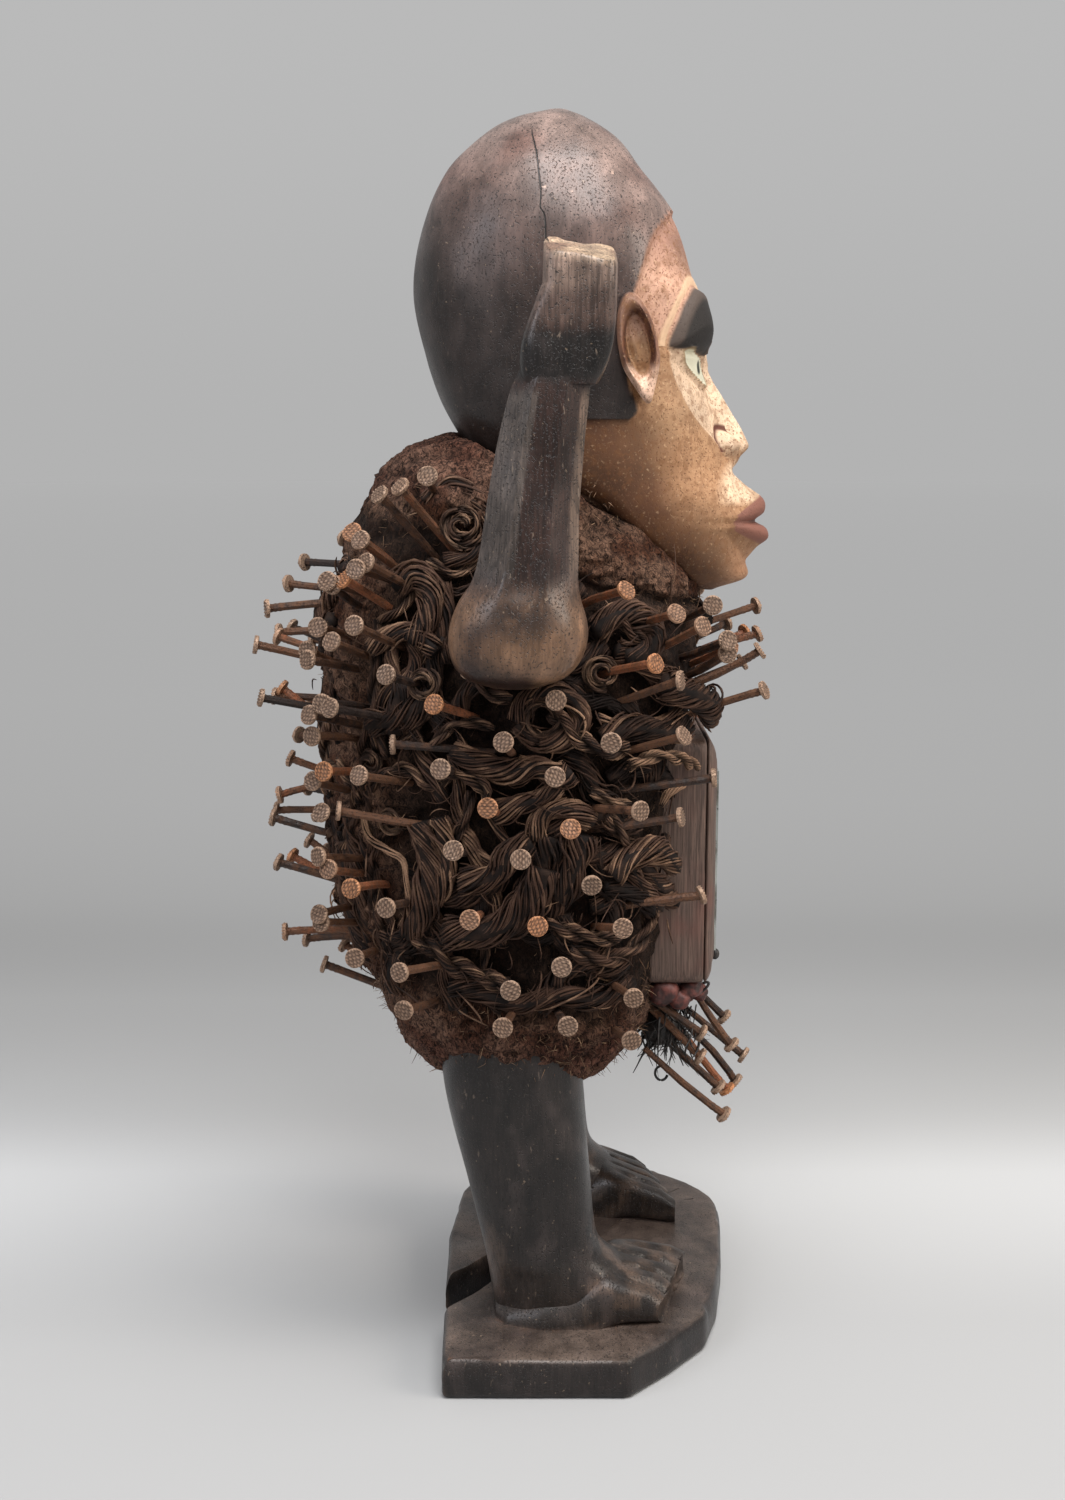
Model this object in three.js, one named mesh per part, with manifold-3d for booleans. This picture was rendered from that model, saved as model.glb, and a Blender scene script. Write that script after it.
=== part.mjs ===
// A standing power figure, about 46 cm tall: a carved wooden man on his own notched base, with the
// right arm raised beside the head, the trunk wrapped in a coat of matted fibre that is studded
// with nails and wound about with cord, and a mirror-fronted box on the belly.
import * as THREE from 'three';
import { mergeVertices } from 'three/addons/utils/BufferGeometryUtils.js';
import Module from 'manifold-3d';

const wasm = await Module();
wasm.setup();

// Driving dimensions, in millimetres and degrees. The figure faces -Y and its right side is at -X.
// A place is given as side (towards its left), ahead (towards its front) and up.
const CLEARANCE = 0.35;

// Each list below gives a size at a few heights: [up, size]
const FACE_FRONT = [
  [286, 46], [290, 58], [296, 58], [303, 57], [318, 55], [329, 51], [336, 49], [352, 45],
  [366, 40], [376, 39], [392, 39], [400, 36], [422, 28], [438, 16], [450, 6], [457, -5], [460, -12],
];
const HEAD_BACK = [
  [286, 40], [290, 33], [305, 14], [320, -4], [328, -28], [335, -45], [352, -57], [374, -63],
  [395, -65], [417, -62], [438, -53], [452, -38], [457, -28], [460, -16],
];
const HEAD_MIDDLE = [[286, 44], [293, 36], [305, 24], [320, 10], [335, -2], [352, -8], [460, -14]];
const HEAD_HALF_WIDTH = [
  [286, 8], [290, 14], [296, 20], [305, 26], [320, 33], [335, 38], [352, 42], [375, 44],
  [400, 45], [420, 42], [438, 34], [450, 23], [457, 12], [460, 3],
];
const HEAD_LEVELS = [
  286, 289, 293, 299, 305, 310, 314, 319, 324, 329, 334, 340, 348, 357, 365, 372, 378, 385, 392,
  400, 411, 423, 435, 445, 453, 458, 460,
];
const HEAD_SIDES = 24;
const HEAD_SQUARENESS = 2.25;
const FRONT_CROWDING = 0.42;
const NOSE_RELIEF = [[331, 0], [335, 5], [340, 11], [352, 8], [362, 5], [370, 3.5], [378, 3], [388, 0]];
const NOSE_HALF_WIDTH = [[331, 9], [341, 9], [352, 6], [370, 4], [388, 5]];
const LIP_RELIEF = [[297, 0], [302, 5], [305, 8], [309, 6.5], [311, 3], [314, 7], [320, 8], [325, 3], [329, 0]];
const LIP_HALF_WIDTH = 15;
const BROW = { side: 18, up: 385, halfWidth: 11, halfHeight: 6.5, relief: 5.5 };
const EYE = { side: 18, up: 369, halfWidth: 8, halfHeight: 4.5, relief: 2.5 };
const HAIR_STEP = 1.6;
const HAIRLINE = [[345, 2], [352, 10], [362, 7], [380, 6], [395, 9], [408, 19], [423, 28], [460, 60]];
const EAR = { side: 43, ahead: 14, up: 374, halfLength: 7.5, halfHeight: 20, thickness: 6, lean: 12 };

const TRUNK_MIDDLE = -26;
const COAT_BACK = [
  [101, -50], [106, -62], [118, -74], [136, -83], [155, -93], [183, -98], [219, -100], [250, -101],
  [281, -97], [304, -84], [320, -68], [331, -52],
];
const COAT_FRONT = [
  [101, -6], [106, 6], [116, 17], [130, 26], [150, 31], [210, 34], [240, 40], [262, 43], [285, 41],
  [304, 38], [320, 32], [331, 24],
];
const COAT_HALF_WIDTH = [
  [101, 44], [106, 55], [118, 64], [138, 69], [170, 71], [215, 72], [250, 70], [281, 64],
  [304, 55], [320, 48], [331, 40],
];
const COLLAR_SLOPE = [[250, 0], [281, 0.12], [304, 0.3], [320, 0.42], [331, 0.5]];
const COAT_LEVELS = [101, 104, 110, 120, 138, 160, 185, 212, 240, 264, 284, 300, 313, 323, 331];
const COAT_SIDES = 20;
const COAT_THICKNESS = 13;
const COAT_SQUARENESS = 2.3;
const TRUNK_LEVELS = [112, 130, 165, 215, 255, 290, 318];
const TRUNK_SIDES = 14;
const NECK = { ahead: -12, radius: 27, bottom: 285, top: 345 };

// Stations down the raised arm: up, back, front, half width
const RAISED_ARM_SIDE = -86;
const FOREARM = [[368, -27, -2, 11], [358, -32, -4, 12.5], [325, -38, -7, 14.5], [304, -41, -7, 16], [282, -44, -9, 17]];
const ELBOW = { ahead: -28, up: 279, length: 22.5, height: 18, width: 21 };
const FIST = [[365, -27, -1, 11], [372, -27, 2, 12], [380, -25, 4, 12], [384, -19, 4.5, 12], [397, -18.5, 4.5, 12]];
const FIST_TOP = { back: 409, front: 400 };
const SHOULDER = { side: 40, ahead: -26, up: 284, radius: 17 };

// The lowered left arm, elbow out and hand on the hip: side, ahead, up, radius
const LOWERED_UPPER_ARM = [[40, -27, 290, 17], [66, -32, 274, 16], [83, -38, 224, 14.5]];
const LOWERED_FOREARM = [[83, -38, 224, 14.5], [80, -10, 200, 13], [72, 17, 180, 10]];
const LOWERED_ELBOW = { side: 83, ahead: -38, up: 222, reach: 16.5 };
const HAND = { side: 69, ahead: 27, up: 173, length: 15, height: 8.5, width: 7 };

// Stations down a leg: up, back, front, half width, side of the right leg, side of the left leg
const LEGS = [
  [135, -58, -4, 25, -38, 40], [104, -56, -4, 24, -43, 48], [66, -47, -1, 21, -45, 51],
  [40, -41, 2, 19, -45, 52], [26, -37, 3, 18, -44, 52], [18, -34, 3, 18, -43, 52],
];
const LEG_SIDES = 14;

const BASE_HEIGHT = 15;
const BASE_BEVEL = 2.2;
// Half the base's outline and its slanted notch, as side and ahead
const BASE_OUTLINE = [
  [-89, 12], [-89, -56], [-50, -57], [-34, -44], [-8, -28], [2, -30], [0, -38], [-22, -57],
  [18, -58], [62, -54], [83, -44], [84, 30], [71, 47], [45, 57], [-5, 55], [-39, 48], [-69, 28],
];

// A foot from heel to toes: ahead, inner edge, outer edge, top, all from the ankle's side
const FOOT = [
  [-37, -10, 10, 24], [-33, -14, 17, 30], [-20, -18, 21, 36], [2, -23, 20, 36], [24, -29, 17, 27],
];
const TOE_SPLAY = 13;
const TOE_GROOVES = 4;
const TOE_GROOVE = { length: 18, width: 2, depth: 3.5 };
const FOOT_SIDES = { right: -45, left: 54 };

const BOX = { halfWidth: 32, bottom: 138, top: 232, back: 20.8, front: 41.8, wall: 5 };
// The box's front board by its thickness: how far ahead of the seam, and how far its edge draws in
const BOX_LID_EDGE = [[0, 0], [1.6, 1.2], [2.9, 3.4], [3.6, 6]];
const MIRROR = { halfWidth: 22, bottom: 149, top: 219, thickness: 2.4, sunk: 0.9 };

const NAIL = { length: 45, shank: 1.55, head: 3.6, headThickness: 1.3, sides: 6, sunk: 20 };
// Nails on the right side, as seen from that side: where the shank leaves the coat (ahead, up)
// and how far its head lies ahead of that and above it
const RIGHT_NAILS = [
  [-54, 308, -14, 18], [-70, 297, -12, 12], [-72, 283, -16, 13], [-70, 271, -12, 8], [-85, 261, -13, 6],
  [-62, 258, -12, 5], [-85, 241, -14, 7], [-48, 236, -25, 2], [-68, 223, -15, 6], [-86, 208, -12, 5],
  [-59, 208, -25, 3], [-84, 192, -15, 4], [-87, 165, -10, 6], [-54, 157, -13, 5], [-41, 177, -2, 5],
  [-35, 214, -4, 6], [-14, 249, 1, 6], [-2, 215, 13, 3], [6, 148, 5, 4], [-15, 159, 2, 4],
  [15, 278, 11, 8], [8, 252, 20, 9], [14, 220, 25, 3],
];
// Nails on the hidden side stand in rows: height, first turn from straight ahead, turn between two
const LEFT_NAIL_ROWS = [[150, -72, -34], [196, -122, -30], [240, -136, -30]];
const NAILS_IN_A_LEFT_ROW = 2;
const LEFT_NAIL_LIFT = 6;
// Nails in front, above and below the box: side, up, lift of the head
const FRONT_NAILS = [[-14, 252, 24], [12, 260, 18], [-22, 126, -40]];

const CORD_RADIUS = 4.8;
const CORD_SIDES = 6;
const CORD_STEP = 13;
// Cord hanks on the right side, each a run of places on the coat: ahead, up
const RIGHT_HANKS = [
  [[-60, 321], [-50, 328], [-39, 320], [-40, 308], [-51, 301]],
  [[-69, 291], [-62, 296], [-57, 289], [-59, 280], [-64, 273]],
  [[-56, 255], [-63, 250], [-71, 247], [-79, 244]],
  [[-46, 235], [-37, 231], [-29, 229], [-22, 231], [-14, 227]],
  [[-62, 205], [-58, 194], [-58, 186], [-62, 178]],
  [[-17, 203], [-20, 192], [-27, 180], [-36, 173], [-50, 172]],
  [[-63, 165], [-51, 158], [-38, 153], [-30, 148]],
  [[-17, 174], [-6, 171], [5, 166], [11, 160]],
  [[20, 257], [29, 253], [37, 247], [44, 237]],
];
// Hanks on the hidden side: turn from straight ahead at the start, and the heights that follow
const LEFT_HANKS = [
  { from: -128, heights: [180, 172, 166, 176] }, { from: -136, heights: [270, 274, 268, 262] },
  { from: -150, heights: [226, 222, 228, 218] },
];
const LEFT_HANK_TURN = 16;
const TUFT = { side: -12, ahead: 26, up: 112, length: 28, radius: 9 };

const RIGHT = -1;
const LEFT = 1;

// A place in the figure's own terms
function place(side, ahead, up) {
  return new THREE.Vector3(side, -ahead, up);
}

// The size at a height, on a smooth curve through the stops of a list
function sizeAt(stops, up) {
  const last = stops.length - 1;
  if (up <= stops[0][0]) return stops[0][1];
  if (up >= stops[last][0]) return stops[last][1];
  let i = 0;
  while (up > stops[i + 1][0]) i += 1;
  const slope = (from, to) => (stops[to][1] - stops[from][1]) / (stops[to][0] - stops[from][0]);
  const start = slope(Math.max(i - 1, 0), i + 1);
  const end = slope(i, Math.min(i + 2, last));
  const span = stops[i + 1][0] - stops[i][0];
  const t = (up - stops[i][0]) / span;
  const rise = stops[i + 1][1] - stops[i][1];
  const eased = stops[i][1] + rise * t * t * (3 - 2 * t);
  return eased + span * t * (1 - t) * (start * (1 - t) - end * t);
}

function signedPower(value, power) {
  return Math.sign(value) * Math.abs(value) ** power;
}

function bump(distance, halfWidth) {
  return Math.exp(-((distance / halfWidth) ** 2));
}

// A closed skin over a stack of rings with equal numbers of points, turned to face outwards
function skin(rings) {
  const around = rings[0].length;
  const points = rings.flat();
  const middle = (ring) => ring.reduce((sum, point) => sum.add(point), new THREE.Vector3())
    .divideScalar(ring.length);
  const start = points.push(middle(rings[0])) - 1;
  const end = points.push(middle(rings.at(-1))) - 1;
  const top = (rings.length - 1) * around;
  const faces = [];
  for (let step = 0; step < around; step += 1) {
    const next = (step + 1) % around;
    for (let row = 0; row < top; row += around) {
      faces.push([row + step, row + next, row + around + next]);
      faces.push([row + step, row + around + next, row + around + step]);
    }
    faces.push([start, next, step], [end, top + step, top + next]);
  }
  const volume = faces.reduce((sum, [a, b, c]) => (
    sum + points[a].dot(points[b].clone().cross(points[c]))), 0);
  const outward = volume > 0 ? faces : faces.map(([a, b, c]) => [a, c, b]);
  const geometry = new THREE.BufferGeometry().setFromPoints(points);
  return geometry.setIndex(outward.flat());
}

function toSolid(geometry) {
  geometry.deleteAttribute('normal');
  geometry.deleteAttribute('uv');
  const merged = mergeVertices(geometry);
  return new wasm.Manifold(new wasm.Mesh({
    numProp: 3,
    vertProperties: Float32Array.from(merged.attributes.position.array),
    triVerts: Uint32Array.from(merged.index.array),
  }));
}

function toMesh(solid, name, material) {
  const { numProp, vertProperties, triVerts } = solid.getMesh();
  const geometry = new THREE.BufferGeometry();
  geometry.setAttribute('position', new THREE.BufferAttribute(vertProperties, numProp));
  geometry.setIndex(new THREE.BufferAttribute(triVerts, 1));
  geometry.computeVertexNormals();
  const mesh = new THREE.Mesh(geometry, material);
  mesh.name = name;
  return mesh;
}

function join(solids) {
  return solids.reduce((whole, solid) => whole.add(solid));
}

// An oval ring round a section whose front and back reach differently far from its middle
function ovalRing({ up, middle, front, back, halfWidth, side = 0, squareness = 2, slope = 0 }, count, crowding = 0) {
  return Array.from({ length: count }, (_, step) => {
    const even = (2 * Math.PI * step) / count;
    const turn = even - crowding * Math.sin(even);
    const across = signedPower(Math.sin(turn), 2 / squareness) * halfWidth;
    const along = signedPower(Math.cos(turn), 2 / squareness);
    const ahead = middle + along * (along > 0 ? front - middle : middle - back);
    return place(side + across, ahead, up - slope * (ahead - middle));
  });
}

function ball({ side, ahead, up }, [width, length, height], segments = [10, 8], lean = 0) {
  const geometry = new THREE.SphereGeometry(1, ...segments);
  geometry.rotateX(Math.PI / 2);
  geometry.scale(width, length, height);
  geometry.rotateX(THREE.MathUtils.degToRad(lean));
  geometry.translate(side, -ahead, up);
  return toSolid(geometry);
}

// The face's carving, as a reach ahead of the plain head
function faceRelief(side, up) {
  const nose = sizeAt(NOSE_RELIEF, up) * bump(side, sizeAt(NOSE_HALF_WIDTH, up));
  const lips = sizeAt(LIP_RELIEF, up) * bump(side, LIP_HALF_WIDTH);
  const pad = (form) => form.relief * bump(Math.abs(side) - form.side, form.halfWidth)
    * bump(up - form.up, form.halfHeight);
  return nose + lips + pad(BROW) + pad(EYE);
}

function headRing(up, grow) {
  const ring = ovalRing({
    up,
    middle: sizeAt(HEAD_MIDDLE, up),
    front: sizeAt(FACE_FRONT, up) + grow,
    back: sizeAt(HEAD_BACK, up) - grow,
    halfWidth: sizeAt(HEAD_HALF_WIDTH, up) + grow,
    squareness: HEAD_SQUARENESS,
  }, HEAD_SIDES, FRONT_CROWDING);
  const hairline = sizeAt(HAIRLINE, up);
  return ring.map((point) => {
    const ahead = -point.y;
    if (up > HAIRLINE[0][0] && ahead < hairline) {
      const middle = place(0, sizeAt(HEAD_MIDDLE, up), up);
      const out = point.clone().sub(middle).normalize();
      return point.addScaledVector(out, HAIR_STEP);
    }
    if (ahead > sizeAt(HEAD_MIDDLE, up)) point.y -= faceRelief(point.x, up);
    return point;
  });
}

function makeHead(grow) {
  const skull = toSolid(skin(HEAD_LEVELS.map((up) => headRing(up, grow))));
  const ears = [RIGHT, LEFT].map((hand) => {
    const middle = { side: hand * EAR.side, ahead: EAR.ahead, up: EAR.up };
    const shell = ball(middle, [EAR.thickness, EAR.halfLength, EAR.halfHeight], [8, 6], EAR.lean);
    const hollow = { side: hand * (EAR.side + EAR.thickness), ahead: EAR.ahead + 1, up: EAR.up + 3 };
    const bowl = ball(hollow, [EAR.thickness / 2, EAR.halfLength * 0.55, EAR.halfHeight * 0.6], [6, 4], EAR.lean);
    return shell.subtract(bowl);
  });
  return join([skull, ...ears]);
}

// The trunk's section at a height: the coat's outside, drawn in by a depth
function trunkSection(up, inset) {
  return {
    up,
    middle: TRUNK_MIDDLE,
    front: sizeAt(COAT_FRONT, up) - inset,
    back: sizeAt(COAT_BACK, up) + inset,
    halfWidth: sizeAt(COAT_HALF_WIDTH, up) - inset,
    squareness: COAT_SQUARENESS,
    slope: sizeAt(COLLAR_SLOPE, up),
  };
}

function makeTrunk(grow) {
  const inset = COAT_THICKNESS - grow;
  const trunk = toSolid(skin(TRUNK_LEVELS.map((up) => ovalRing(trunkSection(up, inset), TRUNK_SIDES))));
  const neckEnds = [NECK.bottom, NECK.top].map((up) => ovalRing({
    up,
    middle: NECK.ahead,
    front: NECK.ahead + NECK.radius + grow,
    back: NECK.ahead - NECK.radius - grow,
    halfWidth: NECK.radius + grow,
  }, TRUNK_SIDES));
  return trunk.add(toSolid(skin(neckEnds)));
}

// A limb through stations of up, back, front and half width, at one side of the figure
function upright(stations, side, sides, grow, squareness = 2.4) {
  return toSolid(skin(stations.map(([up, back, front, halfWidth, ...legSides]) => ovalRing({
    up,
    side: legSides.length ? legSides[side === RIGHT ? 0 : 1] : side,
    middle: (front + back) / 2,
    front: front + grow,
    back: back - grow,
    halfWidth: halfWidth + grow,
    squareness,
  }, sides))));
}

function makeRaisedArm(grow) {
  const forearm = upright(FOREARM, RAISED_ARM_SIDE, 8, grow);
  const elbow = ball({ side: RAISED_ARM_SIDE, ...ELBOW }, [ELBOW.width, ELBOW.length, ELBOW.height]
    .map((reach) => reach + grow), [12, 8]);
  const [, back, front, halfWidth] = FIST.at(-1);
  const fistRings = FIST.map(([up, rear, fore, half]) => ovalRing({
    up, side: RAISED_ARM_SIDE, middle: (rear + fore) / 2, front: fore, back: rear, halfWidth: half, squareness: 5,
  }, 12));
  const slope = (FIST_TOP.back - FIST_TOP.front) / (front - back);
  fistRings.push(ovalRing({
    up: (FIST_TOP.back + FIST_TOP.front) / 2, side: RAISED_ARM_SIDE, middle: (back + front) / 2,
    front: front - 0.5, back: back + 0.5, halfWidth: halfWidth - 1, squareness: 5, slope,
  }, 12));
  const upper = limb([
    [RAISED_ARM_SIDE, ELBOW.ahead, ELBOW.up, SHOULDER.radius - 1],
    [-SHOULDER.side, SHOULDER.ahead, SHOULDER.up, SHOULDER.radius],
  ], 10, grow);
  return join([forearm, elbow, toSolid(skin(fistRings)), upper]);
}

// A round limb through places given as side, ahead, up and radius
function limb(stations, sides, grow) {
  const centres = stations.map(([side, ahead, up]) => place(side, ahead, up));
  const rings = stations.map(([, , , radius], i) => {
    const before = centres[Math.max(i - 1, 0)];
    const after = centres[Math.min(i + 1, centres.length - 1)];
    const turn = new THREE.Quaternion().setFromUnitVectors(
      new THREE.Vector3(0, 0, 1),
      after.clone().sub(before).normalize(),
    );
    return Array.from({ length: sides }, (_, step) => {
      const angle = (2 * Math.PI * step) / sides;
      const reach = radius + grow;
      const spoke = new THREE.Vector3(Math.cos(angle) * reach, Math.sin(angle) * reach, 0);
      return spoke.applyQuaternion(turn).add(centres[i]);
    });
  });
  return toSolid(skin(rings));
}

function makeLoweredArm(grow) {
  const hand = ball(HAND, [HAND.width + grow, HAND.length + grow, HAND.height + grow], [8, 6], 30);
  const elbow = ball(LOWERED_ELBOW, Array(3).fill(LOWERED_ELBOW.reach + grow), [8, 6]);
  const parts = [LOWERED_UPPER_ARM, LOWERED_FOREARM].map((stations) => limb(stations, 8, grow));
  return join([...parts, elbow, hand]);
}

function makeFoot(hand, grow) {
  const middle = hand === RIGHT ? FOOT_SIDES.right : FOOT_SIDES.left;
  const rings = FOOT.map(([ahead, inner, outer, top], i) => {
    const splay = (i / (FOOT.length - 1)) ** 2 * TOE_SPLAY;
    const across = [inner, (inner + outer) / 2, outer];
    const corner = (offset, up) => {
      const share = (outer - offset) / (outer - inner);
      return place(middle + hand * offset, ahead + splay * share + Math.sign(ahead) * grow, up);
    };
    const low = across.map((offset) => corner(offset, BASE_HEIGHT - 1));
    const high = across.map((offset) => corner(offset, top + grow)).reverse();
    return [...low, ...high];
  });
  const foot = toSolid(skin(rings));
  const [toeAhead, toeInner, toeOuter, toeTop] = FOOT.at(-1);
  const grooves = Array.from({ length: TOE_GROOVES }, (_, i) => {
    const share = (i + 1) / (TOE_GROOVES + 1);
    const offset = toeOuter + (toeInner - toeOuter) * share;
    const front = toeAhead + TOE_SPLAY * share + 1;
    const ring = (ahead, lift) => [
      place(middle + hand * offset - TOE_GROOVE.width / 2, ahead, toeTop + lift + 6),
      place(middle + hand * offset + TOE_GROOVE.width / 2, ahead, toeTop + lift + 6),
      place(middle + hand * offset, ahead, toeTop + lift - TOE_GROOVE.depth),
    ];
    return toSolid(skin([ring(front, 0), ring(front - TOE_GROOVE.length, 7)]));
  });
  return grooves.reduce((carved, groove) => carved.subtract(groove), foot);
}

function makeBase() {
  const outline = new THREE.Shape(BASE_OUTLINE.map(([side, ahead]) => new THREE.Vector2(side, -ahead)));
  const slab = new THREE.ExtrudeGeometry(outline, {
    depth: BASE_HEIGHT - 2 * BASE_BEVEL,
    bevelThickness: BASE_BEVEL,
    bevelSize: BASE_BEVEL,
    bevelOffset: -BASE_BEVEL,
    bevelSegments: 1,
  });
  slab.translate(0, 0, BASE_BEVEL);
  return toSolid(slab);
}

function makeFigure(grow = 0) {
  const legs = [RIGHT, LEFT].map((hand) => upright(LEGS, hand, LEG_SIDES, grow));
  const body = [makeHead(grow), makeTrunk(grow), makeRaisedArm(grow), makeLoweredArm(grow), ...legs];
  const feet = [RIGHT, LEFT].map((hand) => makeFoot(hand, grow));
  return join([...body, ...feet, makeBase()]);
}

function makeCoat(grow = 0) {
  return toSolid(skin(COAT_LEVELS.map((up) => ovalRing(trunkSection(up, -grow), COAT_SIDES))));
}

// A four-sided block lying along the way ahead, drawn in at each station: ahead and inset
function block({ halfWidth, bottom, top }, stations) {
  return toSolid(skin(stations.map(([ahead, inset]) => [
    place(-halfWidth + inset, ahead, bottom + inset),
    place(halfWidth - inset, ahead, bottom + inset),
    place(halfWidth - inset, ahead, top - inset),
    place(-halfWidth + inset, ahead, top - inset),
  ])));
}

function makeBox() {
  const inside = block(BOX, [[BOX.back + BOX.wall, BOX.wall], [BOX.front + 1, BOX.wall]]);
  return block(BOX, [[BOX.back, 0], [BOX.front, 0]]).subtract(inside);
}

function mirrorStations(grow) {
  const face = BOX.front + CLEARANCE + BOX_LID_EDGE.at(-1)[0];
  const back = face - MIRROR.sunk - grow;
  return [[back, -grow], [back + MIRROR.thickness + grow, -grow]];
}

function makeBoxLid() {
  const seam = BOX.front + CLEARANCE;
  const board = block(BOX, BOX_LID_EDGE.map(([ahead, inset]) => [seam + ahead, inset]));
  return board.subtract(block(MIRROR, mirrorStations(CLEARANCE)));
}

// The level of the coat's sloping rings that passes through a place seen from the side
function coatLevel(ahead, up) {
  let level = up;
  for (let round = 0; round < 8; round += 1) {
    level = up + sizeAt(COLLAR_SLOPE, level) * (ahead - TRUNK_MIDDLE);
  }
  return level;
}

// A point on the coat at a place seen from the side, and the way straight out of it
function onCoat(hand, ahead, up) {
  const level = coatLevel(ahead, up);
  const { middle, front, back, halfWidth, squareness } = trunkSection(level, 0);
  const reach = ahead > middle ? front - middle : middle - back;
  const along = Math.min(Math.abs(ahead - middle) / reach, 0.999);
  const across = (1 - along ** squareness) ** (1 / squareness);
  const out = new THREE.Vector3(
    (hand * across ** (squareness - 1)) / halfWidth,
    (-Math.sign(ahead - middle) * along ** (squareness - 1)) / reach,
    0,
  ).normalize();
  return { spot: place(hand * across * halfWidth, ahead, up), out };
}

// The same for a turn about the trunk, in degrees from straight ahead towards the right side
function onCoatAtTurn(turn, up) {
  const angle = THREE.MathUtils.degToRad(turn);
  const { middle, front, back } = trunkSection(up, 0);
  const along = signedPower(Math.cos(angle), 2 / COAT_SQUARENESS);
  const ahead = middle + along * (along > 0 ? front - middle : middle - back);
  return onCoat(Math.sin(angle) > 0 ? RIGHT : LEFT, ahead, up);
}

function nailGeometry(extra, withHead) {
  const { length, shank, head, headThickness, sides } = NAIL;
  const neck = length - headThickness;
  const profile = withHead
    ? [[0, -extra], [shank + extra, 0], [shank + extra, neck], [head, neck], [head, length], [0, length]]
    : [[0, -extra - 1], [shank + extra, 0], [shank + extra, length], [0, length]];
  return new THREE.LatheGeometry(profile.map(([x, y]) => new THREE.Vector2(x, y)), sides);
}

// Turns a nail from its own upright axis to stand in the coat, pointing out
function driveNail({ spot, out }, extra, withHead) {
  const geometry = nailGeometry(extra, withHead);
  const turn = new THREE.Quaternion().setFromUnitVectors(new THREE.Vector3(0, 1, 0), out);
  geometry.applyQuaternion(turn);
  const tip = spot.clone().addScaledVector(out, -NAIL.sunk);
  geometry.translate(tip.x, tip.y, tip.z);
  return toSolid(geometry);
}

function nailPlaces() {
  const shown = NAIL.length - NAIL.sunk;
  const right = RIGHT_NAILS.map(([ahead, up, headAhead, headUp]) => {
    const { spot } = onCoat(RIGHT, ahead, up);
    const side = -Math.sqrt(Math.max(shown ** 2 - headAhead ** 2 - headUp ** 2, 0));
    return { spot, out: new THREE.Vector3(side, -headAhead, headUp).normalize() };
  });
  const left = LEFT_NAIL_ROWS.flatMap(([up, from, step]) => (
    Array.from({ length: NAILS_IN_A_LEFT_ROW }, (_, i) => {
      const { spot, out } = onCoatAtTurn(from + i * step, up);
      const lift = Math.tan(THREE.MathUtils.degToRad(LEFT_NAIL_LIFT));
      return { spot, out: out.add(new THREE.Vector3(0, 0, lift)).normalize() };
    })));
  const front = FRONT_NAILS.map(([side, up, lift]) => {
    const angle = THREE.MathUtils.degToRad(lift);
    const { front: reach } = trunkSection(up, 0);
    const out = new THREE.Vector3(side / 90, -Math.cos(angle), Math.sin(angle)).normalize();
    return { spot: place(side, reach - 1.5, up), out };
  });
  return { right, left, front };
}

// A cord laid along places on the coat, its middle just clear of the coat's outside
function layCord(places, grow = 0) {
  const lift = CORD_RADIUS + CLEARANCE;
  const route = new THREE.CatmullRomCurve3(places.map(({ spot, out }) => spot.clone().addScaledVector(out, lift)));
  const radius = CORD_RADIUS + grow;
  const section = new THREE.Shape(Array.from({ length: CORD_SIDES }, (_, step) => {
    const angle = (2 * Math.PI * step) / CORD_SIDES;
    return new THREE.Vector2(Math.cos(angle) * radius, Math.sin(angle) * radius);
  }));
  const steps = Math.ceil(route.getLength() / CORD_STEP) + 1;
  return toSolid(new THREE.ExtrudeGeometry(section, { steps, extrudePath: route, bevelEnabled: false }));
}

function makeTuft() {
  const { side, ahead, up, length, radius } = TUFT;
  return limb([
    [side, ahead - 9, up + 7, radius * 0.7],
    [side, ahead, up - length * 0.3, radius],
    [side, ahead + 4, up - length * 0.65, radius * 0.35],
  ], 8, 0);
}

const material = (color, roughness, metalness = 0) => new THREE.MeshStandardMaterial({
  color, roughness, metalness,
});
const carvedWood = material('#4a3a34', 0.45);
const mattedFibre = material('#5a4030', 0.95);
const boxWood = material('#5d4f45', 0.7);
const mirrorGlass = material('#9aa3a3', 0.15, 0.9);
const rustyIron = material('#83583c', 0.75, 0.4);
const cordFibre = material('#4a382a', 0.9);
const blackFibre = material('#1d1a18', 0.9);

const figure = new THREE.Group();
const nails = nailPlaces();
const allNails = Object.values(nails).flat();
const nailHoles = join(allNails.map((nail) => driveNail(nail, CLEARANCE, false)));
const boxRoom = block(BOX, [[BOX.back - CLEARANCE, -CLEARANCE], [BOX.front + 20, -CLEARANCE]]);

figure.add(toMesh(makeFigure().subtract(boxRoom).subtract(nailHoles), 'carved_figure', carvedWood));
const coat = makeCoat().subtract(makeFigure(CLEARANCE)).subtract(boxRoom);
figure.add(toMesh(coat.subtract(nailHoles), 'fibre_coat', mattedFibre));
figure.add(toMesh(makeBox(), 'belly_box', boxWood));
figure.add(toMesh(makeBoxLid(), 'belly_box_lid', boxWood));
figure.add(toMesh(block(MIRROR, mirrorStations(0)), 'belly_box_mirror', mirrorGlass));
figure.add(toMesh(makeTuft().subtract(makeCoat(CLEARANCE)).subtract(nailHoles), 'fibre_tuft', blackFibre));
for (const [group, places] of Object.entries(nails)) {
  places.forEach((nail, i) => {
    const name = `nail_${group}_${String(i + 1).padStart(2, '0')}`;
    figure.add(toMesh(driveNail(nail, 0, true), name, rustyIron));
  });
}
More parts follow.
